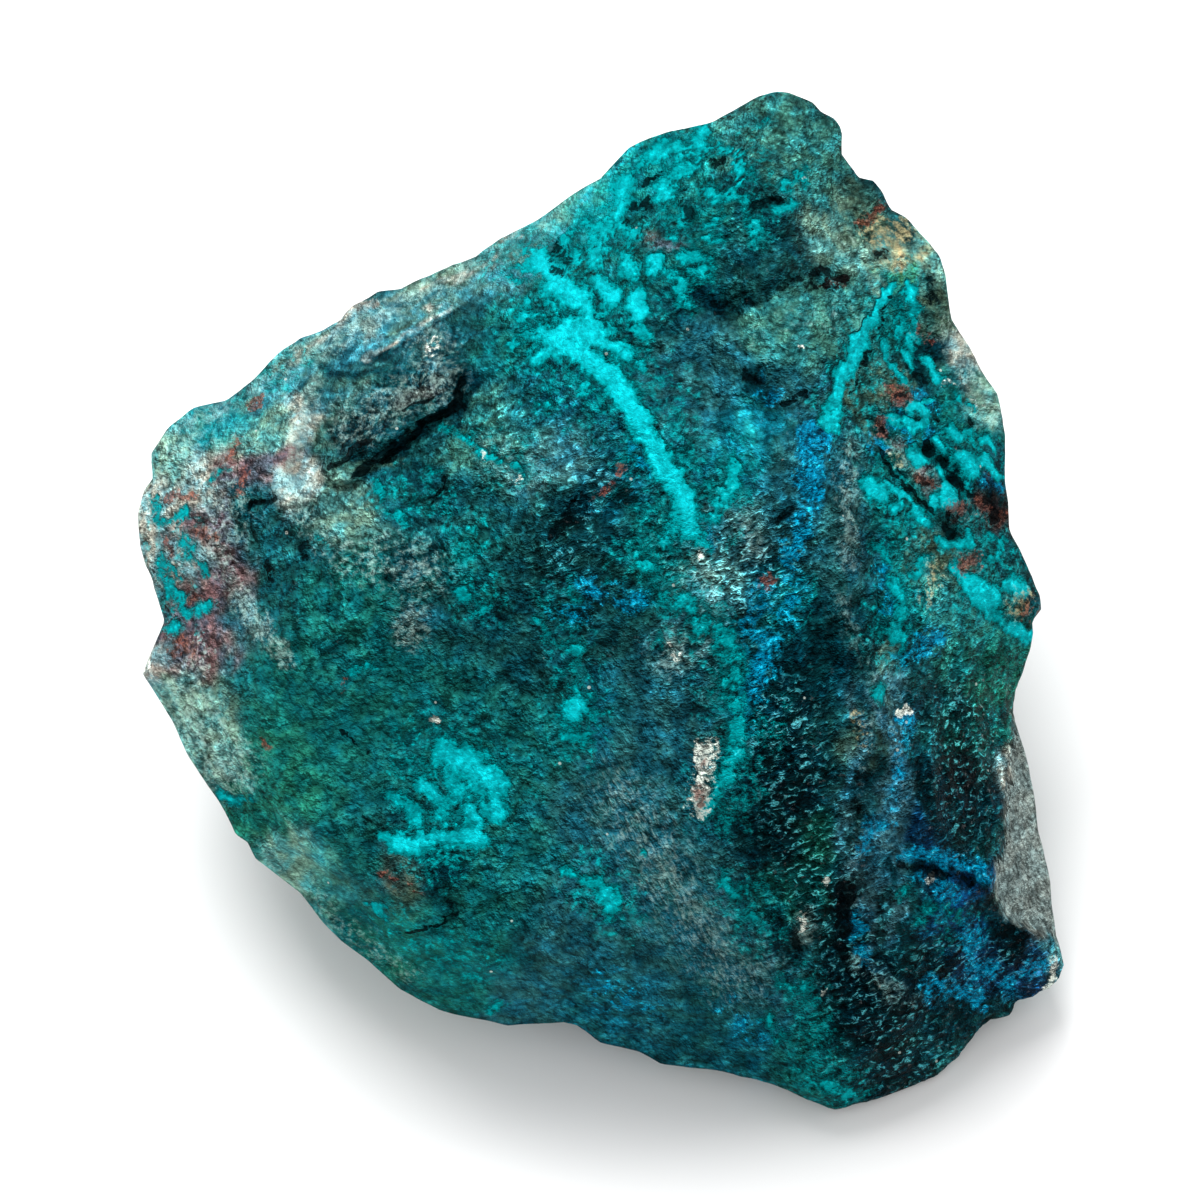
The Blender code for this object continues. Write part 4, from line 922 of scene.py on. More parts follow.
    film: tuple[Stroke, ...] = (
        (40, 0.8, 530, 250, 580, 320, 640, 400, 680, 490), (50, 0.45, 640, 150, 690, 160, 660, 220),
        (36, 0.45, 690, 250, 640, 300), (30, 0.75, 650, 560, 700, 610, 735, 660, 740, 720, 720, 800),
        (24, 0.75, 735, 465, 710, 520), (22, 0.8, 900, 280, 880, 330, 840, 410),
        (24, 0.7, 880, 450, 905, 540, 890, 640), (40, 0.72, 440, 760, 480, 790, 440, 840),
        (26, 0.7, 575, 700, 580, 740), (26, 0.65, 590, 880, 620, 910), (24, 0.6, 735, 890, 760, 930),
        (20, 0.7, 800, 985, 820, 1075, 850, 1095), (22, 0.6, 480, 445, 520, 470), (26, 0.42, 170, 520, 178, 620),
        (22, 0.6, 225, 405, 290, 362), (34, 0.75, 900, 420, 960, 470, 990, 590), (20, 0.6, 930, 900, 960, 930),
        (26, 0.5, 390, 490, 460, 530, 480, 600), (22, 0.6, 560, 600, 575, 655), (26, 0.5, 470, 960, 400, 930),
        (16, 0.6, 750, 140, 760, 230), (30, 0.5, 560, 400, 520, 330), (16, 0.55, 800, 590, 770, 640),
    )
    far_swaps: tuple[tuple[Tint, float, int, float, float], ...] = (
        (Tint.SLATE, 9.0, 40, -0.25, 0.35),
        (Tint.MALACHITE, 12.0, 50, -0.05, 0.45),
        (Tint.MAUVE, 8.0, 60, 0.25, 0.6),
    )
    ground_weight: float = 0.02
    tint_falloff: float = 1.6
    tent_reach: float = 2.0

    def amount(self, u: np.ndarray, v: np.ndarray, courses: tuple[Stroke, ...]) -> np.ndarray:
        """How much of a mineral lies at each place.

        Each course is a tent: its strength on the course, half of that one width away, nothing at two widths. The
        highest tent counts.

        Args:
            u: places across, millimetres.
            v: places up, millimetres.
            courses: where the mineral lies.

        Returns:
            Amounts from 0 to about 1.
        """
        total = np.zeros(u.shape)
        for width, strength, *course in courses:
            reach = self.tent_reach * width * SURVEY.mark
            corners = SURVEY.in_mm(course)
            near = (u > corners[:, 0].min() - reach) & (u < corners[:, 0].max() + reach)
            near &= (v > corners[:, 1].min() - reach) & (v < corners[:, 1].max() + reach)
            picked = np.flatnonzero(near)
            distance = along_course(u[picked], v[picked], corners)[0]
            tent = strength * np.clip(1.0 - distance / reach, 0.0, 1.0)
            total[picked] = np.maximum(total[picked], tent)
        return total

    def rock_tint(self, u: np.ndarray, v: np.ndarray) -> np.ndarray:
        """Colour of the rock: each tint weighted by a bell exp(-k (d / r)^2) round each of its strokes."""
        weights = np.full(u.shape, self.ground_weight)
        total = weights[:, None] * Tint.DEEP_TEAL.rgb()
        for tint, strokes in self.tints.items():
            for radius, strength, *course in strokes:
                distance = along_course(u, v, SURVEY.in_mm(course))[0]
                weight = strength * np.exp(-self.tint_falloff * (distance / (radius * SURVEY.mark)) ** 2)
                total += weight[:, None] * tint.rgb()
                weights += weight
        return total / weights[:, None]

    def far_tint(self, points: np.ndarray, seed: int) -> np.ndarray:
        """Colour of the rock behind and below: dark teal, with three tints swapped in by broad noise."""
        rock = Tint.DEEP_TEAL.rgb()
        for tint, size, step, low, high in self.far_swaps:
            share = smooth_step(layered_noise(points / size, 3, seed + step), low, high)[:, None]
            rock = rock * (1.0 - share) + tint.rgb() * share
        return rock


# ----- The stone -----


@dataclass
class Stone:
    """The whole specimen as one closed surface with its mineral amounts at every point."""

    across: int = 170
    deep: int = 60
    flattening: float = 0.45
    spread: float = 0.5
    swell_size: float = 11.0
    swell_height: float = 0.9
    break_size: float = 5.0
    break_height: float = 0.35
    break_fold: float = 0.6
    chip_size: float = 1.5
    chip_height: float = 0.16
    rough_plain: float = 0.45
    rough_streaks: float = -0.35
    rough_behind: float = 0.6
    rough_limits: tuple[float, float] = (0.15, 1.3)
    uneven_behind: float = 1.1
    front_blend: tuple[float, float] = (-11.0, -3.0)
    mineral_blend: tuple[float, float] = (-13.0, -8.0)
    shore: float = 0.35
    shore_size: float = 2.5
    shiver: float = 0.22
    shiver_size: float = 0.9
    drift: float = 1.3
    drift_size: float = 4.5
    map_margin: float = 0.004
    seed: int = 3
    block: FractureBlock = field(default_factory=FractureBlock)
    relief: Relief = field(default_factory=Relief)
    minerals: MineralMap = field(default_factory=MineralMap)

    def spaced(self, count: int) -> np.ndarray:
        """Even steps from -1 to 1, eased by tan so that they stay even on the stone."""
        return np.tan(np.linspace(-self.spread, self.spread, count + 1)) / math.tan(self.spread)

    def lattice(self) -> tuple[np.ndarray, np.ndarray, np.ndarray]:
        """Six grids on a flattened box, welded along its edges.

        Each side of the box is a grid of two parameters. A corner shared by two or three sides has the same whole
        numbers (i, j, k) on each, so equal numbers become one point.

        Returns:
            Directions of the points, the four corners of each quad, and the quads' places on the flat map.
        """
        wide = self.across
        deep = self.deep
        steps_wide = self.spaced(wide)
        steps_deep = self.spaced(deep)
        sides = (
            (2, deep, (0, wide), (1, wide), (0.0, 0.4, 0.6, 0.6), False),
            (2, 0, (0, wide), (1, wide), (0.0, 0.0, 0.6, 0.4), True),
            (0, wide, (1, wide), (2, deep), (0.6, 0.75, 0.4, 0.25), False),
            (0, 0, (1, wide), (2, deep), (0.6, 0.5, 0.4, 0.25), True),
            (1, wide, (0, wide), (2, deep), (0.6, 0.25, 0.4, 0.25), True),
            (1, 0, (0, wide), (2, deep), (0.6, 0.0, 0.4, 0.25), False),
        )
        keys = []
        quads = []
        places = []
        base = 0
        for fixed, level, (first, first_count), (second, second_count), rectangle, flipped in sides:
            i, j = np.meshgrid(np.arange(first_count + 1), np.arange(second_count + 1), indexing="ij")
            numbers = np.zeros(i.shape + (3,), dtype=np.int64)
            numbers[..., fixed] = level
            numbers[..., first] = i
            numbers[..., second] = j
            keys.append(numbers.reshape(-1, 3))
            index = base + np.arange(i.size).reshape(i.shape)
            loop = [index[:-1, :-1], index[1:, :-1], index[1:, 1:], index[:-1, 1:]]
            margin = self.map_margin
            left, bottom, width, height = rectangle
            flat_u = left + margin + (width - 2.0 * margin) * i / first_count
            flat_v = bottom + margin + (height - 2.0 * margin) * j / second_count
            flat = np.stack([flat_u, flat_v], axis=-1)
            corners = [flat[:-1, :-1], flat[1:, :-1], flat[1:, 1:], flat[:-1, 1:]]
            if flipped:
                loop.reverse()
                corners.reverse()
            quads.append(np.stack(loop, axis=-1).reshape(-1, 4))
            places.append(np.stack(corners, axis=-2).reshape(-1, 4, 2))
            base += i.size
        keys = np.vstack(keys)
        unique, back = np.unique(keys, axis=0, return_inverse=True)
        corners = np.stack([
            steps_wide[unique[:, 0]], steps_wide[unique[:, 1]], steps_deep[unique[:, 2]] * self.flattening,
        ], axis=1)
        return unit(corners), back.reshape(-1)[np.vstack(quads)], np.vstack(places)

    def surface(self, directions: np.ndarray) -> tuple[np.ndarray, np.ndarray, np.ndarray]:
        """Place one point of the surface in each direction.

        The fitted block gives the place. In front, relief and unevenness are added along the survey direction, so
        the outline stays; behind, the unevenness is added outwards. Unevenness is broad swells, sharp breaks and
        small chips, each from noise.

        Args:
            directions: unit vectors from the middle.

        Returns:
            Places (u, v, w), the places before the relief, and how far each stands proud of its surroundings.
        """
        smooth = self.block.fit_to_outline(directions * self.block.reach(directions)[:, None])
        folded = smooth / self.break_size
        bends = [noise(folded * self.break_fold, self.seed + axis) for axis in range(3)]
        folded = folded + self.break_fold * np.stack(bends, axis=1)
        uneven = self.swell_height * layered_noise(smooth / self.swell_size, 3, self.seed)
        uneven += self.break_height * sharp_noise(folded, 2, self.seed + 4)
        u, v = self.relief.wandered(smooth, self.seed)
        rough = self.rough_plain + self.minerals.amount(u, v, self.minerals.wavelets)
        rough = rough + self.rough_streaks * self.minerals.amount(u, v, self.minerals.streaks)
        chips = self.chip_height * sharp_noise(smooth / self.chip_size, 3, self.seed + 30)
        front = smooth_step(smooth[:, 2], *self.front_blend)
        chips *= np.clip(rough * front + self.rough_behind * (1.0 - front), *self.rough_limits)
        relief = self.relief.height(smooth, self.seed) * front
        placed = smooth + directions * ((1.0 - front) * (self.uneven_behind * uneven + chips))[:, None]
        placed[:, 2] += relief + front * (uneven + chips)
        proud = chips / self.chip_height * 0.5 + 0.6 * np.clip(relief, -1.0, 0.0)
        return placed, smooth, proud

    def far_fields(self, points: np.ndarray) -> dict[str, np.ndarray]:
        """Amounts behind and below, from noise: veins follow sheets where broad noise is near zero.

        Args:
            points: places (u, v, w), millimetres.

        Returns:
            One amount for each point under each mineral's name.
        """

        def cut(size: float, step: int, low: float, high: float) -> np.ndarray:
            """Patches of noise, rising from 0 at low to 1 at high."""
            return smooth_step(noise(points / size, self.seed + step), low, high)

        def swell(middle: float, height: float, size: float, step: int) -> np.ndarray:
            """Noise of a given height about a middle amount."""
            return middle + height * noise(points / size, self.seed + step)

        vein = 1.0 - np.abs(layered_noise(points / 13.0, 2, self.seed + 80)) / 0.10
        pool = cut(10.0, 82, 0.25, 0.6)
        return {
            "turquoise": 0.9 * np.clip(vein * cut(7.0, 81, -0.2, 0.3), 0.0, 1.0),
            "azure": 0.75 * cut(8.0, 83, 0.3, 0.7) * pool,
            "cream": 0.55 * cut(3.0, 84, 0.5, 0.9),
            "rust": 0.7 * cut(5.0, 85, 0.45, 0.8),
            "shaded_hollows": np.zeros(len(points)),
            "ochre": 0.5 * cut(6.0, 90, 0.4, 0.8),
            "gloss": 0.4 * pool,
            "wavelets": swell(0.35, 0.3, 9.0, 86),
            "streaks": swell(0.3, 0.4, 11.0, 87),
            "dust_and_sheen": swell(0.35, 0.5, 8.0, 88),
            "film": swell(0.3, 0.6, 9.0, 89),
            "calm": swell(0.3, 0.5, 7.0, 91),
        }

    def mineral_fields(self, points: np.ndarray, proud: np.ndarray) -> dict[str, np.ndarray]:
        """Work out the fields that the material reads: from the mineral map in front, from noise behind.

        Args:
            points: places (u, v, w) of the surface before its relief, millimetres.
            proud: how far each point stands proud.

        Returns:
            One value or four for each point under each field's name.
        """
        u, v = self.relief.wandered(points, self.seed)
        u = u + self.shiver * noise(points / self.shiver_size, self.seed + 70)
        v = v + self.shiver * noise(points / self.shiver_size, self.seed + 71)
        front = smooth_step(points[:, 2], *self.mineral_blend)
        shore = self.shore * noise(points / self.shore_size, self.seed + 72) * (front * (1.0 - front) * 4.0)
        front = np.clip(front + shore, 0.0, 1.0)
        drift = self.drift * layered_noise(points / self.drift_size, 4, self.seed + 73)
        sway = self.drift * layered_noise(points / self.drift_size, 4, self.seed + 78)
        rock = self.minerals.rock_tint(u + drift, v + sway) * front[:, None]
        rock += self.minerals.far_tint(points, self.seed) * (1.0 - front[:, None])
        bare = smooth_step(depth_inside(u, v, SURVEY.in_mm(self.relief.scar)), 0.0, 0.35) * front
        rock = rock * (1.0 - bare[:, None]) + bare[:, None] * Tint.PUMICE.rgb()
        mixed = {}
        for name, behind in self.far_fields(points).items():
            mixed[name] = self.minerals.amount(u, v, getattr(self.minerals, name)) * front + behind * (1.0 - front)
        return {
            "rock": np.column_stack([rock, np.clip(0.5 + 0.5 * proud, 0.0, 1.0)]),
            "veins": np.column_stack([mixed[name] for name in ("turquoise", "azure", "cream", "rust")]),
            "touch": np.column_stack([mixed[name] for name in ("shaded_hollows", "gloss", "wavelets", "streaks")]),
            "haze": np.column_stack([mixed["dust_and_sheen"], mixed["film"], bare, mixed["ochre"]]),
            "calm": np.maximum(mixed["calm"], bare),
        }

    def build(self) -> bpy.types.Object:
        """Make the stone's mesh, its fields and its flat map, and put it in the scene."""
        directions, quads, flat = self.lattice()
        placed, smooth, proud = self.surface(directions)
        fields = self.mineral_fields(smooth, proud)
        mesh = bpy.data.meshes.new("chrysocolla_stone")
        mesh.from_pydata([], [], [])
        mesh.vertices.add(len(placed))
        mesh.vertices.foreach_set("co", SURVEY.lying_down(placed).astype(np.float32).ravel())
        mesh.loops.add(quads.size)
        mesh.loops.foreach_set("vertex_index", quads.astype(np.int32).ravel())
        mesh.polygons.add(len(quads))
        mesh.polygons.foreach_set("loop_start", np.arange(0, quads.size, 4, dtype=np.int32))
        mesh.polygons.foreach_set("use_smooth", np.ones(len(quads), dtype=bool))
        mesh.update(calc_edges=True)
        layer = mesh.uv_layers.new(name="OFBake")
        layer.uv.foreach_set("vector", flat.astype(np.float32).ravel())
        for name, values in fields.items():
            kind, slot = ("FLOAT", "value") if values.ndim == 1 else ("FLOAT_COLOR", "color")
            attribute = mesh.attributes.new(name, kind, "POINT")
            attribute.data.foreach_set(slot, values.astype(np.float32).ravel())
        mesh.validate()
        stone = bpy.data.objects.new("stone", mesh)
        bpy.context.scene.collection.objects.link(stone)
        return stone


# ----- Materials -----


class Value:
    """A node's output that can be reckoned with: each sign adds one Math node."""

    def __init__(self, tree: "Tree", socket: bpy.types.NodeSocket) -> None:
        """Keep the output and the tree that it is in."""
        self.tree = tree
        self.socket = socket

    def __add__(self, other: object) -> "Value":
        """This plus the other."""
        return self.tree.math("ADD", self, other)

    def __sub__(self, other: object) -> "Value":
        """This less the other."""
        return self.tree.math("SUBTRACT", self, other)

    def __rsub__(self, other: object) -> "Value":
        """The other less this."""
        return self.tree.math("SUBTRACT", other, self)

    def __mul__(self, other: object) -> "Value":
        """This times the other."""
        return self.tree.math("MULTIPLY", self, other)

    def __rtruediv__(self, other: object) -> "Value":
        """The other over this."""
        return self.tree.math("DIVIDE", other, self)

    def doublings(self) -> "Value":
        """Two to the power of this."""
        return self.tree.math("POWER", 2.0, self)

    def at_most(self, other: object) -> "Value":
        """The lesser of this and the other."""
        return self.tree.math("MINIMUM", self, other)

    def at_least(self, other: object) -> "Value":
        """The greater of this and the other."""
        return self.tree.math("MAXIMUM", self, other)

    def between(self, at_none: float, at_all: float) -> "Value":
        """Straight from one number where this is 0 to another where it is 1."""
        return self.tree.span(self, 0.0, 1.0, at_none, at_all, "LINEAR")


class Tree:
    """A short way to write a node tree: each call adds one node and returns its output."""

    def __init__(self, tree: bpy.types.NodeTree) -> None:
        """Start on a node tree."""
        self.tree = tree
        self.count = 0

    def node(self, kind: str, **settings: object) -> bpy.types.Node:
        """Add a node and set its own settings, six nodes to a column."""
        made = self.tree.nodes.new(kind)
        for name, value in settings.items():
            setattr(made, name, value)
        made.location = (200.0 * (self.count // 6), -220.0 * (self.count % 6))
        self.count += 1
        return made

    def feed(self, socket: bpy.types.NodeSocket, value: object) -> None:
        """Link a socket to an output, or set it to a constant."""
        if isinstance(value, Value):
            self.tree.links.new(value.socket, socket)
        elif value is not None:
            socket.default_value = value

    def add(self, kind: str, inputs: dict[str | int, object], output: str | int = 0, **settings: object) -> Value:
        """Add a node, feed its inputs by name or number, and return one of its outputs."""
        made = self.node(kind, **settings)
        for name, value in inputs.items():
            self.feed(made.inputs[name], value)
        return Value(self, made.outputs[output])

    def outputs(self, node: bpy.types.Node, *names: str) -> list[Value]:
        """Some of a node's outputs."""
        return [Value(self, node.outputs[name]) for name in names]

    def attribute(self, name: str) -> tuple[Value, Value, Value]:
        """One of the surface's fields, as a colour, as its fourth part and as one value."""
        made = self.node("ShaderNodeAttribute", attribute_name=name)
        return tuple(self.outputs(made, "Color", "Alpha", "Fac"))

    def math(self, operation: str, first: object, second: object = None, clamp: bool = False) -> Value:
        """Add a Math node."""
        return self.add("ShaderNodeMath", {0: first, 1: second}, operation=operation, use_clamp=clamp)

    def mix(self, share: object, first: object, second: object, blend: str = "MIX") -> Value:
        """Mix two colours, share 0 giving the first."""
        return self.add("ShaderNodeMix", {0: share, 6: first, 7: second}, 2,
                        data_type="RGBA", blend_type=blend, clamp_factor=True)

    def span(self, value: object, low: object, high: object, to_low: float = 0.0, to_high: float = 1.0,
             kind: str = "SMOOTHSTEP") -> Value:
        """Carry a value from one range to another, smoothly by default."""
        return self.add("ShaderNodeMapRange", {0: value, 1: low, 2: high, 3: to_low, 4: to_high},
                        interpolation_type=kind, clamp=True)

    def turned(self, vector: object, angles_deg: tuple[float, float, float],
               scale: tuple[float, float, float] = (1.0, 1.0, 1.0)) -> Value:
        """Turn and stretch a pattern's coordinates."""
        angles = tuple(math.radians(angle) for angle in angles_deg)
        return self.add("ShaderNodeMapping", {0: vector, 2: angles, 3: scale}, vector_type="TEXTURE")

    def grain(self, vector: object, size: float, detail: float = 3.0, rough: float = 0.55,
              twist: float = 0.0) -> Value:
        """Noise with swells of the given size in millimetres, middle value one half."""
        return self.add("ShaderNodeTexNoise", {
            "Vector": vector, "Scale": 1.0 / size, "Detail": detail, "Roughness": rough, "Distortion": twist,
        }, "Fac", noise_dimensions="3D")

    def dot(self, first: object, second: object) -> Value:
        """The dot product of two vectors."""
        return self.add("ShaderNodeVectorMath", {0: first, 1: second}, "Value", operation="DOT_PRODUCT")

    def apart(self, first: object, second: object) -> Value:
        """The first vector less the second."""
        return self.add("ShaderNodeVectorMath", {0: first, 1: second}, operation="SUBTRACT")

    def parts(self, colour: object) -> list[Value]:
        """Split a colour into its three parts."""
        made = self.node("ShaderNodeSeparateColor")
        self.feed(made.inputs[0], colour)
        return self.outputs(made, "Red", "Green", "Blue")

    def group(self, group: bpy.types.NodeTree, outputs: tuple[str, ...], **values: object) -> list[Value]:
        """Use a node group, feeding its inputs by name, and return some of its outputs."""
        made = self.node("ShaderNodeGroup")
        made.node_tree = group
        for name, value in values.items():
            self.feed(made.inputs[name.capitalize()], value)
        return self.outputs(made, *outputs)


def new_group(name: str, inputs: dict[str, str],
              output_kinds: dict[str, str]) -> tuple[Tree, list[Value], bpy.types.Node]:
    """Start a shader node group.

    Args:
        name: the group's name.
        inputs: each input's socket type under its name.
        output_kinds: each output's socket type under its name.

    Returns:
        The tree to add nodes to, the group's inputs as values, and its output node.
    """
    made = bpy.data.node_groups.new(name, "ShaderNodeTree")
    for way, sockets in (("INPUT", inputs), ("OUTPUT", output_kinds)):
        for label, kind in sockets.items():
            made.interface.new_socket(name=label, in_out=way, socket_type=kind)
    tree = Tree(made)
    start = tree.node("NodeGroupInput")
    return tree, tree.outputs(start, *inputs), tree.node("NodeGroupOutput")


class SharedEffects:
    """Node groups used again and again: survey coordinates, crumbled masks, three tones and broken stone."""

    def __init__(self) -> None:
        """Build the groups."""
        self.survey_place = self.make_survey_place()
        self.crumbled = self.make_crumbled()
        self.three_tone = self.make_three_tone()
        self.crumbs = self.make_crumbs()

    @staticmethod
    def make_survey_place(rim: float = 8.0, kept: float = 0.5) -> bpy.types.NodeTree:
        """Object coordinates in metres turned to (u, v, w) in millimetres, about the table's point.

        Depth nearer than the rim counts half, w - 0.5 * max(w + 8, 0), so grain keeps its size on leaning faces.
        """
        tree, _, end = new_group("survey_place", {}, {"Place": "NodeSocketVector"})
        (metres,) = tree.outputs(tree.node("ShaderNodeTexCoord"), "Object")
        lean = (math.radians(SURVEY.lean_deg - 90.0), 0.0, 0.0)
        turned = tree.add("ShaderNodeMapping", {0: metres, 2: lean, 3: (1000.0, 1000.0, 1000.0)}, vector_type="POINT")
        parts = tree.node("ShaderNodeSeparateXYZ")
        tree.feed(parts.inputs[0], turned)
        u, v, w = tree.outputs(parts, "X", "Y", "Z")
        depth = w - (w + rim).at_least(0.0) * kept
        tree.feed(end.inputs["Place"], tree.add("ShaderNodeCombineXYZ", {0: u, 1: v, 2: depth}))
        return tree.tree

    @staticmethod
    def make_crumbled() -> bpy.types.NodeTree:
        """A mask with a crumbled edge: smooth step of amount + reach * (noise - 0.5) round 0.5, none at no amount."""
        kind = "NodeSocketFloat"
        tree, (amount, grain, reach, softness), end = new_group(
            "crumbled", {"Amount": kind, "Noise": kind, "Reach": kind, "Softness": kind}, {"Mask": kind})
        pushed = tree.add("ShaderNodeMath", {0: grain - 0.5, 1: reach, 2: amount}, operation="MULTIPLY_ADD")
        edge = tree.span(pushed, 0.5 - softness, softness + 0.5)
        tree.feed(end.inputs["Mask"], edge * tree.span(amount, 0.02, 0.30))
        return tree.tree

    @staticmethod
    def make_crumbs() -> bpy.types.NodeTree:
        """Broken stone: cells of a given size, each with its own tilt and its own shade.

        Tilt is offset . (cell colour - 0.5), with the offset from the cell's middle; dome is 1 - distance^2; shade
        is one part of the cell's colour.
        """
        kind = "NodeSocketFloat"
        tree, (place, size), end = new_group(
            "crumbs", {"Place": "NodeSocketVector", "Size": kind}, {"Tilt": kind, "Dome": kind, "Shade": kind})
        cells = tree.node("ShaderNodeTexVoronoi", feature="F1")
        tree.feed(cells.inputs["Vector"], place)
        tree.feed(cells.inputs["Scale"], 1.0 / size)
        colour, middle, distance = tree.outputs(cells, "Color", "Position", "Distance")
        tree.feed(end.inputs["Tilt"], tree.dot(tree.apart(place, middle), tree.apart(colour, (0.5, 0.5, 0.5))))
        tree.feed(end.inputs["Dome"], 1.0 - distance * distance)
        tree.feed(end.inputs["Shade"], tree.parts(colour)[1])
        return tree.tree

    @staticmethod
    def make_three_tone() -> bpy.types.NodeTree:
        """The dark colour below a value of 0.34, the middle one from 0.50 to 0.52, the pale one above 0.70."""
        kind = "NodeSocketColor"
        tree, (value, dark, middle, pale), end = new_group(
            "three_tone", {"Value": "NodeSocketFloat", "Dark": kind, "Middle": kind, "Pale": kind}, {"Colour": kind})
        low = tree.mix(tree.span(value, 0.34, 0.5), dark, middle)
        tree.feed(end.inputs["Colour"], tree.mix(tree.span(value, 0.52, 0.70), low, pale))
        return tree.tree


@dataclass(frozen=True)
class Cover:
    """How a mineral lies over the rock.

    The grain pushes its edge by reach, the edge fades over softness, and share of what lies under it is hidden.
    """

    reach: float
    softness: float
    share: float


@dataclass(frozen=True)
class Grains:
    """The noises that the stone's colour and touch are made of, each a value of about one half."""

    mottle: Value
    fleck: Value
    crumb: Value
    fine: Value
    hue: Value
    rows: Value
    lines: Value


@dataclass(frozen=True)
class Shading:
    """How far each grain darkens or lightens the rock's tint; the crest highlight, the dome and gap shade and the sun
    are painted light and shade.

    A grain of 0.5 leaves the tint as it is. Its distance from that, times the grain's doublings, is the power of two
    that the tint is multiplied by. A cut is the range over which a mask rises.
    """

    fleck: float = 2.8
    rows: float = 13.5
    mottle: float = 6.0
    crest_highlight: float = 2.4
    crest_highlight_cut: tuple[float, float] = (0.53, 0.66)
    chip_shade: float = 1.4
    middle_shade: float = 1.2
    lump_dome: float = 0.8
    middle_dome: float = 1.35
    dome: float = 1.4
    cells_in_rows: float = 0.4
    darker_plain: float = 0.15
    darker_rows: float = 1.5
    lift: float = 0.12
    gap: float = 1.4
    gap_shade_cut: tuple[float, float] = (0.33, 0.42)
    gap_shade_calm_cut: tuple[float, float] = (0.2, 0.9)
    scar: float = 8.0
    scar_middle: float = 0.49
    scar_most: float = 0.3
    mineral: float = 7.0
    most: float = 2.6
    sun: float = 3.0
    sun_on_veins: float = 0.45
    sun_most: float = 1.1


@dataclass(frozen=True)
class FineRelief:
    """Heights of the relief that is finer than the mesh, in millimetres."""

    rows: float = 1.0
    lines: float = 0.35
    fleck: float = 0.18
    mottle: float = 1.2
    chip_tilt: float = 1.6
    tilt: float = 0.8
    lump_dome: float = 0.20
    chip_dome: float = 0.07
    cells_in_rows: float = 0.45
    under_veins: float = 0.4
    veins: float = 0.10
    shaded_hollows: float = 0.25


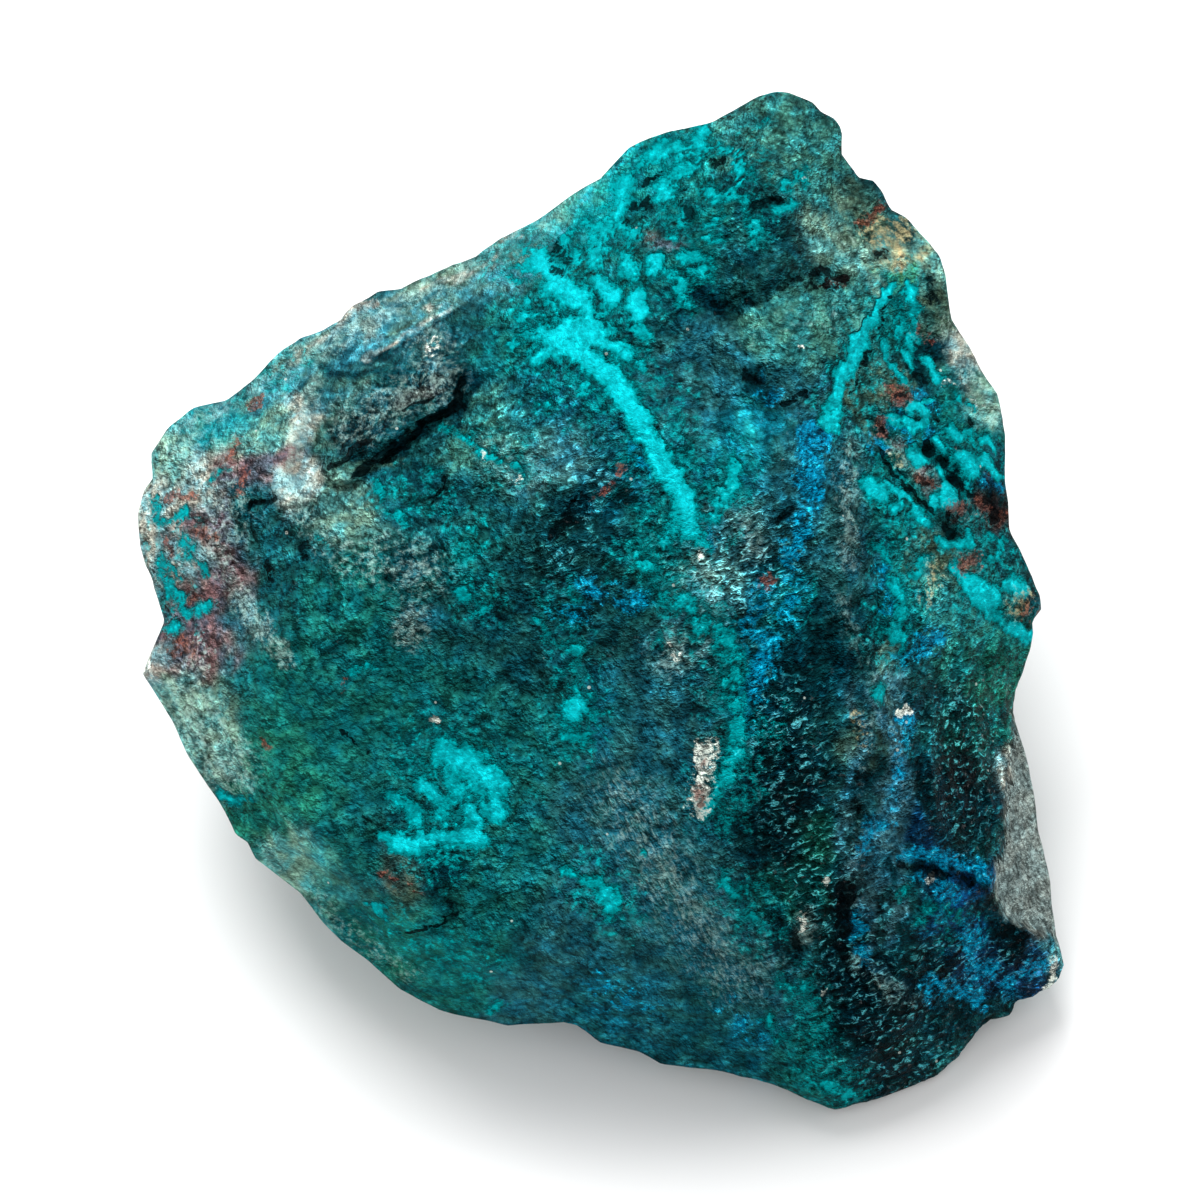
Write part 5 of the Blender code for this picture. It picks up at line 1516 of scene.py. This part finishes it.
@dataclass(frozen=True)
class StoneFinish:
    """Colours and touch of the stone's minerals, with the painted shade of its hollows and the painted highlights on
    its crests. Colours are display values, sizes are millimetres.
    """

    turquoise_deep: Display = (0, 84, 86)
    turquoise_film: Display = (0, 104, 106)
    turquoise: Display = (0, 132, 136)
    turquoise_pale: Display = (6, 170, 178)
    azure_deep: Display = (0, 46, 78)
    azure: Display = (0, 108, 142)
    azure_pale: Display = (24, 168, 192)
    cream: Display = (212, 218, 206)
    cream_shade: Display = (146, 154, 146)
    ochre: Display = (96, 100, 74)
    ochre_pale: Display = (156, 146, 108)
    rust: Display = (78, 34, 28)
    rust_pale: Display = (126, 76, 60)
    # colour of the painted shade in the hollows
    hollow_shade_colour: Display = (1, 9, 12)
    # colour of the painted highlight on the wavelets' crests
    crest_highlight: Display = (88, 172, 176)
    # pale grey of the dust and of the painted sheen
    dust_and_sheen: Display = (136, 162, 154)
    speck: Display = (190, 204, 196)
    cool_cast: tuple[float, float, float, float] = (0.56, 0.96, 1.10, 1.0)
    warm_cast: tuple[float, float, float, float] = (1.28, 1.03, 0.90, 1.0)
    dust_and_sheen_cover: Cover = Cover(4.0, 0.40, 0.5)
    film_cover: Cover = Cover(4.4, 0.34, 0.72)
    azure_cover: Cover = Cover(4.4, 0.30, 0.85)
    turquoise_cover: Cover = Cover(3.3, 0.22, 0.97)
    ochre_cover: Cover = Cover(2.4, 0.28, 0.75)
    cream_cover: Cover = Cover(2.2, 0.16, 0.8)
    rust_cover: Cover = Cover(2.6, 0.20, 0.8)
    hollow_shade_cover: Cover = Cover(4.0, 0.14, 0.94)
    mottle_size: float = 1.7
    fleck_size: float = 0.48
    crumb_size: float = 1.15
    fine_size: float = 0.17
    hue_size: float = 1.4
    row_size: float = 0.43
    line_size: float = 0.32
    lump_size: float = 1.05
    chip_size: float = 0.38
    row_turn_deg: float = 22.0
    line_turn_deg: float = -62.0
    calm_share: float = 0.42
    sun: tuple[float, float, float] = (0.26, 0.52, 0.81)
    push: float = 0.5
    push_scale: float = 1.3
    row_share: float = 0.9
    line_share: float = 0.7
    hue_cut: tuple[float, float] = (0.36, 0.64)
    scar_cast: float = 0.2
    highlight_row_cut: tuple[float, float] = (0.55, 0.65)
    highlight_wavelet_cut: tuple[float, float] = (0.55, 0.95)
    highlight_share: float = 0.55
    halo: float = 1.5
    azure_grain: float = 0.6
    turquoise_grain: float = 0.40
    speck_scale: float = 0.34
    speck_cut: tuple[float, float] = (0.045, 0.03)
    speck_share: float = 0.7
    roughness_dusty: float = 0.75
    roughness_waxy: float = 0.32
    roughness_grain: float = 0.4
    roughness_veins: float = 0.15
    gloss_gain: float = 1.2
    glint_cut: tuple[float, float] = (0.60, 0.70)
    glint_none: float = 1.05
    glint_full: float = 1.55
    shading: Shading = Shading()
    fine_relief: FineRelief = FineRelief()

    def grains(self, tree: Tree, place: Value) -> Grains:
        """Grains of several sizes; rows and lines are stretched along the way that they run."""
        rows_place = tree.turned(place, (0.0, 0.0, self.row_turn_deg), (1.5, 0.95, 1.2))
        lines_place = tree.turned(place, (0.0, 0.0, self.line_turn_deg), (2.2, 0.8, 1.0))
        return Grains(
            mottle=tree.grain(place, self.mottle_size, 5.0, 0.62, 0.2),
            fleck=tree.grain(place, self.fleck_size, 4.0, 0.70),
            crumb=tree.grain(tree.turned(place, (20.0, 30.0, 40.0)), self.crumb_size, 3.0, 0.55, 0.2),
            fine=tree.grain(place, self.fine_size, 2.0, 0.6),
            hue=tree.grain(tree.turned(place, (50.0, 10.0, 70.0)), self.hue_size, 4.0, 0.6),
            rows=tree.grain(rows_place, self.row_size, 3.0, 0.62, 0.6),
            lines=tree.grain(lines_place, self.line_size, 3.0, 0.6, 0.3),
        )

    def laid(self, tree: Tree, effects: SharedEffects, under: Value, over: object, amount: Value, grain: Value,
             cover: Cover) -> tuple[Value, Value]:
        """Lay a mineral over the colour so far, with a crumbled edge.

        Args:
            tree: the material's tree.
            effects: the shared node groups.
            under: the colour so far.
            over: the mineral's colour.
            amount: how much of the mineral there is.
            grain: the noise that crumbles its edge.
            cover: how it lies over the rest.

        Returns:
            The new colour and the mineral's mask.
        """
        (mask,) = tree.group(effects.crumbled, ("Mask",), amount=amount, noise=grain, reach=cover.reach,
                             softness=cover.softness)
        return tree.mix(mask * cover.share, under, over), mask

    def make(self, effects: SharedEffects) -> bpy.types.Material:
        """Build the stone's material.

        Args:
            effects: the shared node groups.

        Returns:
            A material that reads the stone's fields and Object coordinates.
        """
        material = bpy.data.materials.new("chrysocolla_rock")
        material.use_nodes = True
        tree = Tree(material.node_tree)
        shader = material.node_tree.nodes["Principled BSDF"]
        (place,) = tree.group(effects.survey_place, ("Place",))
        rock_tint, proud, _ = tree.attribute("rock")
        veins, rust_amount, _ = tree.attribute("veins")
        touch, streak, _ = tree.attribute("touch")
        haze, ochre_amount, _ = tree.attribute("haze")
        _, _, calm = tree.attribute("calm")
        turquoise_amount, azure_amount, cream_amount = tree.parts(veins)
        hollow_shade_amount, gloss, wavelet = tree.parts(touch)
        dust_and_sheen_amount, film_amount, bare = tree.parts(haze)
        liveliness = calm.between(1.0, self.calm_share)
        grain = self.grains(tree, place)
        fleck, mottle, rows, lines = grain.fleck, grain.mottle, grain.rows, grain.lines

        # broken cells, their coordinates pushed about so that no wall is straight
        push = tree.add("ShaderNodeTexNoise", {"Vector": place, "Scale": self.push_scale, "Detail": 2.0}, "Color",
                        noise_dimensions="3D")
        reach = (self.push, self.push, self.push)
        pushed = tree.add("ShaderNodeVectorMath", {0: push, 1: reach, 2: place}, operation="MULTIPLY_ADD")
        cell_parts = ("Tilt", "Dome", "Shade")
        lump_tilt, lump_dome, lump_shade = tree.group(effects.crumbs, cell_parts, place=pushed, size=self.lump_size)
        chip_tilt, chip_dome, chip_shade = tree.group(effects.crumbs, cell_parts, place=pushed, size=self.chip_size)

        # the rock: its tint made darker and lighter by doublings
        by = self.shading
        directed = tree.mix(tree.math("MULTIPLY", streak, self.line_share, clamp=True), fleck, lines)
        directed = tree.mix(tree.math("MULTIPLY", wavelet, self.row_share, clamp=True), directed, rows)
        # in the wavelets the rows grain swings the tint far: painted light on their crests and painted shade below
        # them, over the rock's own near-black
        power = (directed - 0.5) * wavelet.between(by.fleck, by.rows)
        power += (mottle - 0.5) * by.mottle
        # painted shade: the tint darker where the relief sinks, a little lighter on raised chips
        power += proud - 0.5
        # painted highlight: the wavelets' crests lighter
        power += tree.span(rows, *by.crest_highlight_cut) * wavelet * by.crest_highlight
        # each cell has its own random tone; the dome term is painted shade, darker at the cells' edges and lighter in
        # their middles
        shade = lump_shade + chip_shade * by.chip_shade - by.middle_shade
        dome = lump_dome * by.lump_dome + chip_dome - by.middle_dome
        power += (shade + dome * by.dome) * wavelet.between(1.0, by.cells_in_rows)
        power -= wavelet.between(by.darker_plain, by.darker_rows)
        # painted shade: dark gaps between the grains, fewer where the stone is calm
        painted_gap_shade = tree.span(fleck, *by.gap_shade_cut, 1.0, 0.0) * tree.span(calm, *by.gap_shade_calm_cut, 1.0, 0.0)
        power = power * liveliness + by.lift - painted_gap_shade * by.gap
        power += ((lines - by.scar_middle) * by.scar * bare).at_most(by.scar_most)
        stone = tree.mix(1.0, rock_tint, power.at_most(by.most).doublings(), "MULTIPLY")
        cast = tree.mix(tree.span(grain.hue, *self.hue_cut), self.cool_cast, self.warm_cast)
        stone = tree.mix(bare.between(1.0, self.scar_cast), stone, cast, "MULTIPLY")
        # painted highlight: pale colour on the wavelets' crests
        painted_crest_highlight = tree.span(rows, *self.highlight_row_cut) * tree.span(wavelet, *self.highlight_wavelet_cut)
        stone = tree.mix(painted_crest_highlight * self.highlight_share, stone, linear(*self.crest_highlight))
        # pale dust and painted sheen, laid as one colour
        dust_and_sheen_grain = directed * 0.7 + mottle * 0.3
        stone, _ = self.laid(tree, effects, stone, linear(*self.dust_and_sheen), dust_and_sheen_amount, dust_and_sheen_grain, self.dust_and_sheen_cover)

        # minerals with crumbled edges, and last the painted shade of the hollows
        gain = ((fleck - 0.5) * by.mineral).doublings()
        edge = grain.crumb * 0.5 + fleck * 0.5
        halo = film_amount.at_least(turquoise_amount * self.halo)
        film = tree.mix(1.0, linear(*self.turquoise_film), gain, "MULTIPLY")
        colour, _ = self.laid(tree, effects, stone, film, halo, edge, self.film_cover)
        (azure,) = tree.group(effects.three_tone, ("Colour",), value=fleck * 0.7 + mottle * 0.3,
                              dark=linear(*self.azure_deep), middle=linear(*self.azure),
                              pale=linear(*self.azure_pale))
        azure = tree.mix(self.azure_grain, azure, tree.mix(1.0, azure, gain, "MULTIPLY"))
        colour, _ = self.laid(tree, effects, colour, azure, azure_amount, edge, self.azure_cover)
        tone = turquoise_amount.at_most(1.2) * 0.36 + edge * 0.36 + mottle * 0.20
        (turquoise,) = tree.group(effects.three_tone, ("Colour",), value=tone, dark=linear(*self.turquoise_deep),
                                  middle=linear(*self.turquoise), pale=linear(*self.turquoise_pale))
        turquoise = tree.mix(self.turquoise_grain, turquoise, tree.mix(1.0, turquoise, gain, "MULTIPLY"))
        colour, turquoise_mask = self.laid(tree, effects, colour, turquoise, turquoise_amount, edge,
                                           self.turquoise_cover)
        ochre = tree.mix(tree.span(fleck, 0.40, 0.60), linear(*self.ochre), linear(*self.ochre_pale))
        colour, _ = self.laid(tree, effects, colour, ochre, ochre_amount, fleck, self.ochre_cover)
        cream = tree.mix(tree.span(fleck, 0.4, 0.6), linear(*self.cream_shade), linear(*self.cream))
        colour, _ = self.laid(tree, effects, colour, cream, cream_amount, fleck, self.cream_cover)
        rust = tree.mix(tree.span(grain.fine, 0.45, 0.65), linear(*self.rust), linear(*self.rust_pale))
        colour, _ = self.laid(tree, effects, colour, rust, rust_amount, fleck, self.rust_cover)
        # painted shade: near-black laid in the cracks, in the pits and under the ledges
        colour, hollow_shade_mask = self.laid(tree, effects, colour, linear(*self.hollow_shade_colour), hollow_shade_amount, edge, self.hollow_shade_cover)

        # relief finer than the mesh, heights in millimetres
        high = self.fine_relief
        cell_height = (lump_tilt + chip_tilt * high.chip_tilt) * high.tilt
        cell_height += lump_dome * high.lump_dome + chip_dome * high.chip_dome
        height = rows * wavelet * high.rows + lines * streak * high.lines
        height += fleck * high.fleck + mottle * high.mottle + cell_height * wavelet.between(1.0, high.cells_in_rows)
        height = height * liveliness * turquoise_mask.between(1.0, high.under_veins)
        height += turquoise_mask * high.veins
        height -= hollow_shade_mask * high.shaded_hollows
        normal = tree.add("ShaderNodeBump", {"Strength": 1.0, "Distance": 0.001, "Height": height})
        tree.feed(shader.inputs["Normal"], normal)

        # what the fine relief turns to the light is lighter, (n - (n . f) f) . s with f the surface's own normal
        (facing,) = tree.outputs(tree.node("ShaderNodeNewGeometry"), "Normal")
        lit = tree.dot(normal, self.sun) - tree.dot(normal, facing) * tree.dot(facing, self.sun)
        lit_power = lit * turquoise_mask.between(by.sun, by.sun_on_veins * by.sun)
        colour = tree.mix(1.0, colour, lit_power.at_most(by.sun_most).doublings(), "MULTIPLY")

        # scattered white specks
        distance = tree.add("ShaderNodeTexVoronoi", {"Vector": place, "Scale": self.speck_scale}, "Distance",
                            feature="F1")
        colour = tree.mix(tree.span(distance, *self.speck_cut) * self.speck_share, colour, linear(*self.speck))
        tree.feed(shader.inputs["Base Color"], colour)

        # touch
        waxy = tree.math("MULTIPLY", gloss, bare.between(self.gloss_gain, 0.0), clamp=True)
        rough = waxy.between(self.roughness_dusty, self.roughness_waxy) + (grain.fine - 0.5) * self.roughness_grain
        rough = tree.math("ADD", rough, turquoise_mask * self.roughness_veins, clamp=True)
        tree.feed(shader.inputs["Roughness"], rough)
        glint = tree.span(fleck, *self.glint_cut) * waxy
        tree.feed(shader.inputs["IOR"], glint.between(self.glint_none, self.glint_full))
        return material


@dataclass
class Studio:
    """Plain pale table, soft light from above and behind, and the camera."""

    table_half: float = 1.5
    table_pale: float = 0.92
    key_size: float = 0.45
    key_place: tuple[float, float, float] = (-0.16, 0.30, 0.75)
    key_aim: tuple[float, float, float] = (0.0, 0.0, 0.02)
    key_power: float = 6.4
    sky: float = 0.92
    lens: float = 200.0
    sensor: float = 36.0
    near_clip: float = 0.01
    far_clip: float = 10.0

    def floor(self) -> None:
        """Lay the table: a flat pale sheet, a grid of two by two points."""
        half = self.table_half
        mesh = bpy.data.meshes.new("table_sheet")
        mesh.from_pydata([(-half, -half, 0.0), (half, -half, 0.0), (half, half, 0.0), (-half, half, 0.0)], [],
                         [(0, 1, 2, 3)])
        material = bpy.data.materials.new("table_white")
        material.use_nodes = True
        shader = material.node_tree.nodes["Principled BSDF"]
        shader.inputs["Base Color"].default_value = (self.table_pale, self.table_pale, self.table_pale, 1.0)
        shader.inputs["Roughness"].default_value = 0.9
        shader.inputs["Specular IOR Level"].default_value = 0.1
        mesh.materials.append(material)
        sheet = bpy.data.objects.new("table_sheet", mesh)
        bpy.context.scene.collection.objects.link(sheet)

    def key_light(self) -> None:
        """Hang a square soft light behind and above the stone, aimed at it."""
        light = bpy.data.lights.new("key_light", "AREA")
        light.shape = "SQUARE"
        light.size = self.key_size
        light.energy = self.key_power
        lamp = bpy.data.objects.new("key_light", light)
        lamp.location = self.key_place
        aim = np.array(self.key_aim) - np.array(self.key_place)
        flat = math.hypot(aim[0], aim[1])
        lamp.rotation_euler = (math.atan2(flat, -aim[2]), 0.0, math.atan2(aim[1], aim[0]) - math.pi / 2.0)
        bpy.context.scene.collection.objects.link(lamp)

    def air(self) -> None:
        """Fill the scene with even white light."""
        world = bpy.data.worlds.new("studio_air")
        world.use_nodes = True
        background = world.node_tree.nodes["Background"]
        background.inputs["Color"].default_value = (1.0, 1.0, 1.0, 1.0)
        background.inputs["Strength"].default_value = self.sky
        bpy.context.scene.world = world

    def camera(self) -> None:
        """Set up the camera where the survey looks from, level across and leaning as the front does."""
        scene = bpy.context.scene
        camera = bpy.data.cameras.new("front_camera")
        camera.lens = self.lens
        camera.sensor_width = self.sensor
        camera.clip_start = self.near_clip
        camera.clip_end = self.far_clip
        stand = bpy.data.objects.new("front_camera", camera)
        stand.location = SURVEY.camera_place()
        stand.rotation_euler = (math.radians(90.0 - SURVEY.lean_deg), 0.0, 0.0)
        scene.collection.objects.link(stand)
        scene.camera = stand

    def build(self) -> None:
        """Put up the table, the lights and the camera."""
        self.floor()
        self.key_light()
        self.air()
        self.camera()
        bpy.context.scene.view_settings.view_transform = "Standard"


def main() -> None:
    """Build the stone and its studio, hang the stone on the root body and hide the CAD stone."""
    logging.basicConfig(level=logging.INFO, format="%(name)s: %(message)s")
    effects = SharedEffects()
    stone = Stone().build()
    stone.data.materials.append(StoneFinish().make(effects))
    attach(stone, "root")
    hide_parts("chrysocolla")
    LOG.info("stone: %d points, %d faces", len(stone.data.vertices), len(stone.data.polygons))
    Studio().build()
    LOG.info("studio: table, lights and camera")


if __name__ == "__main__":
    main()
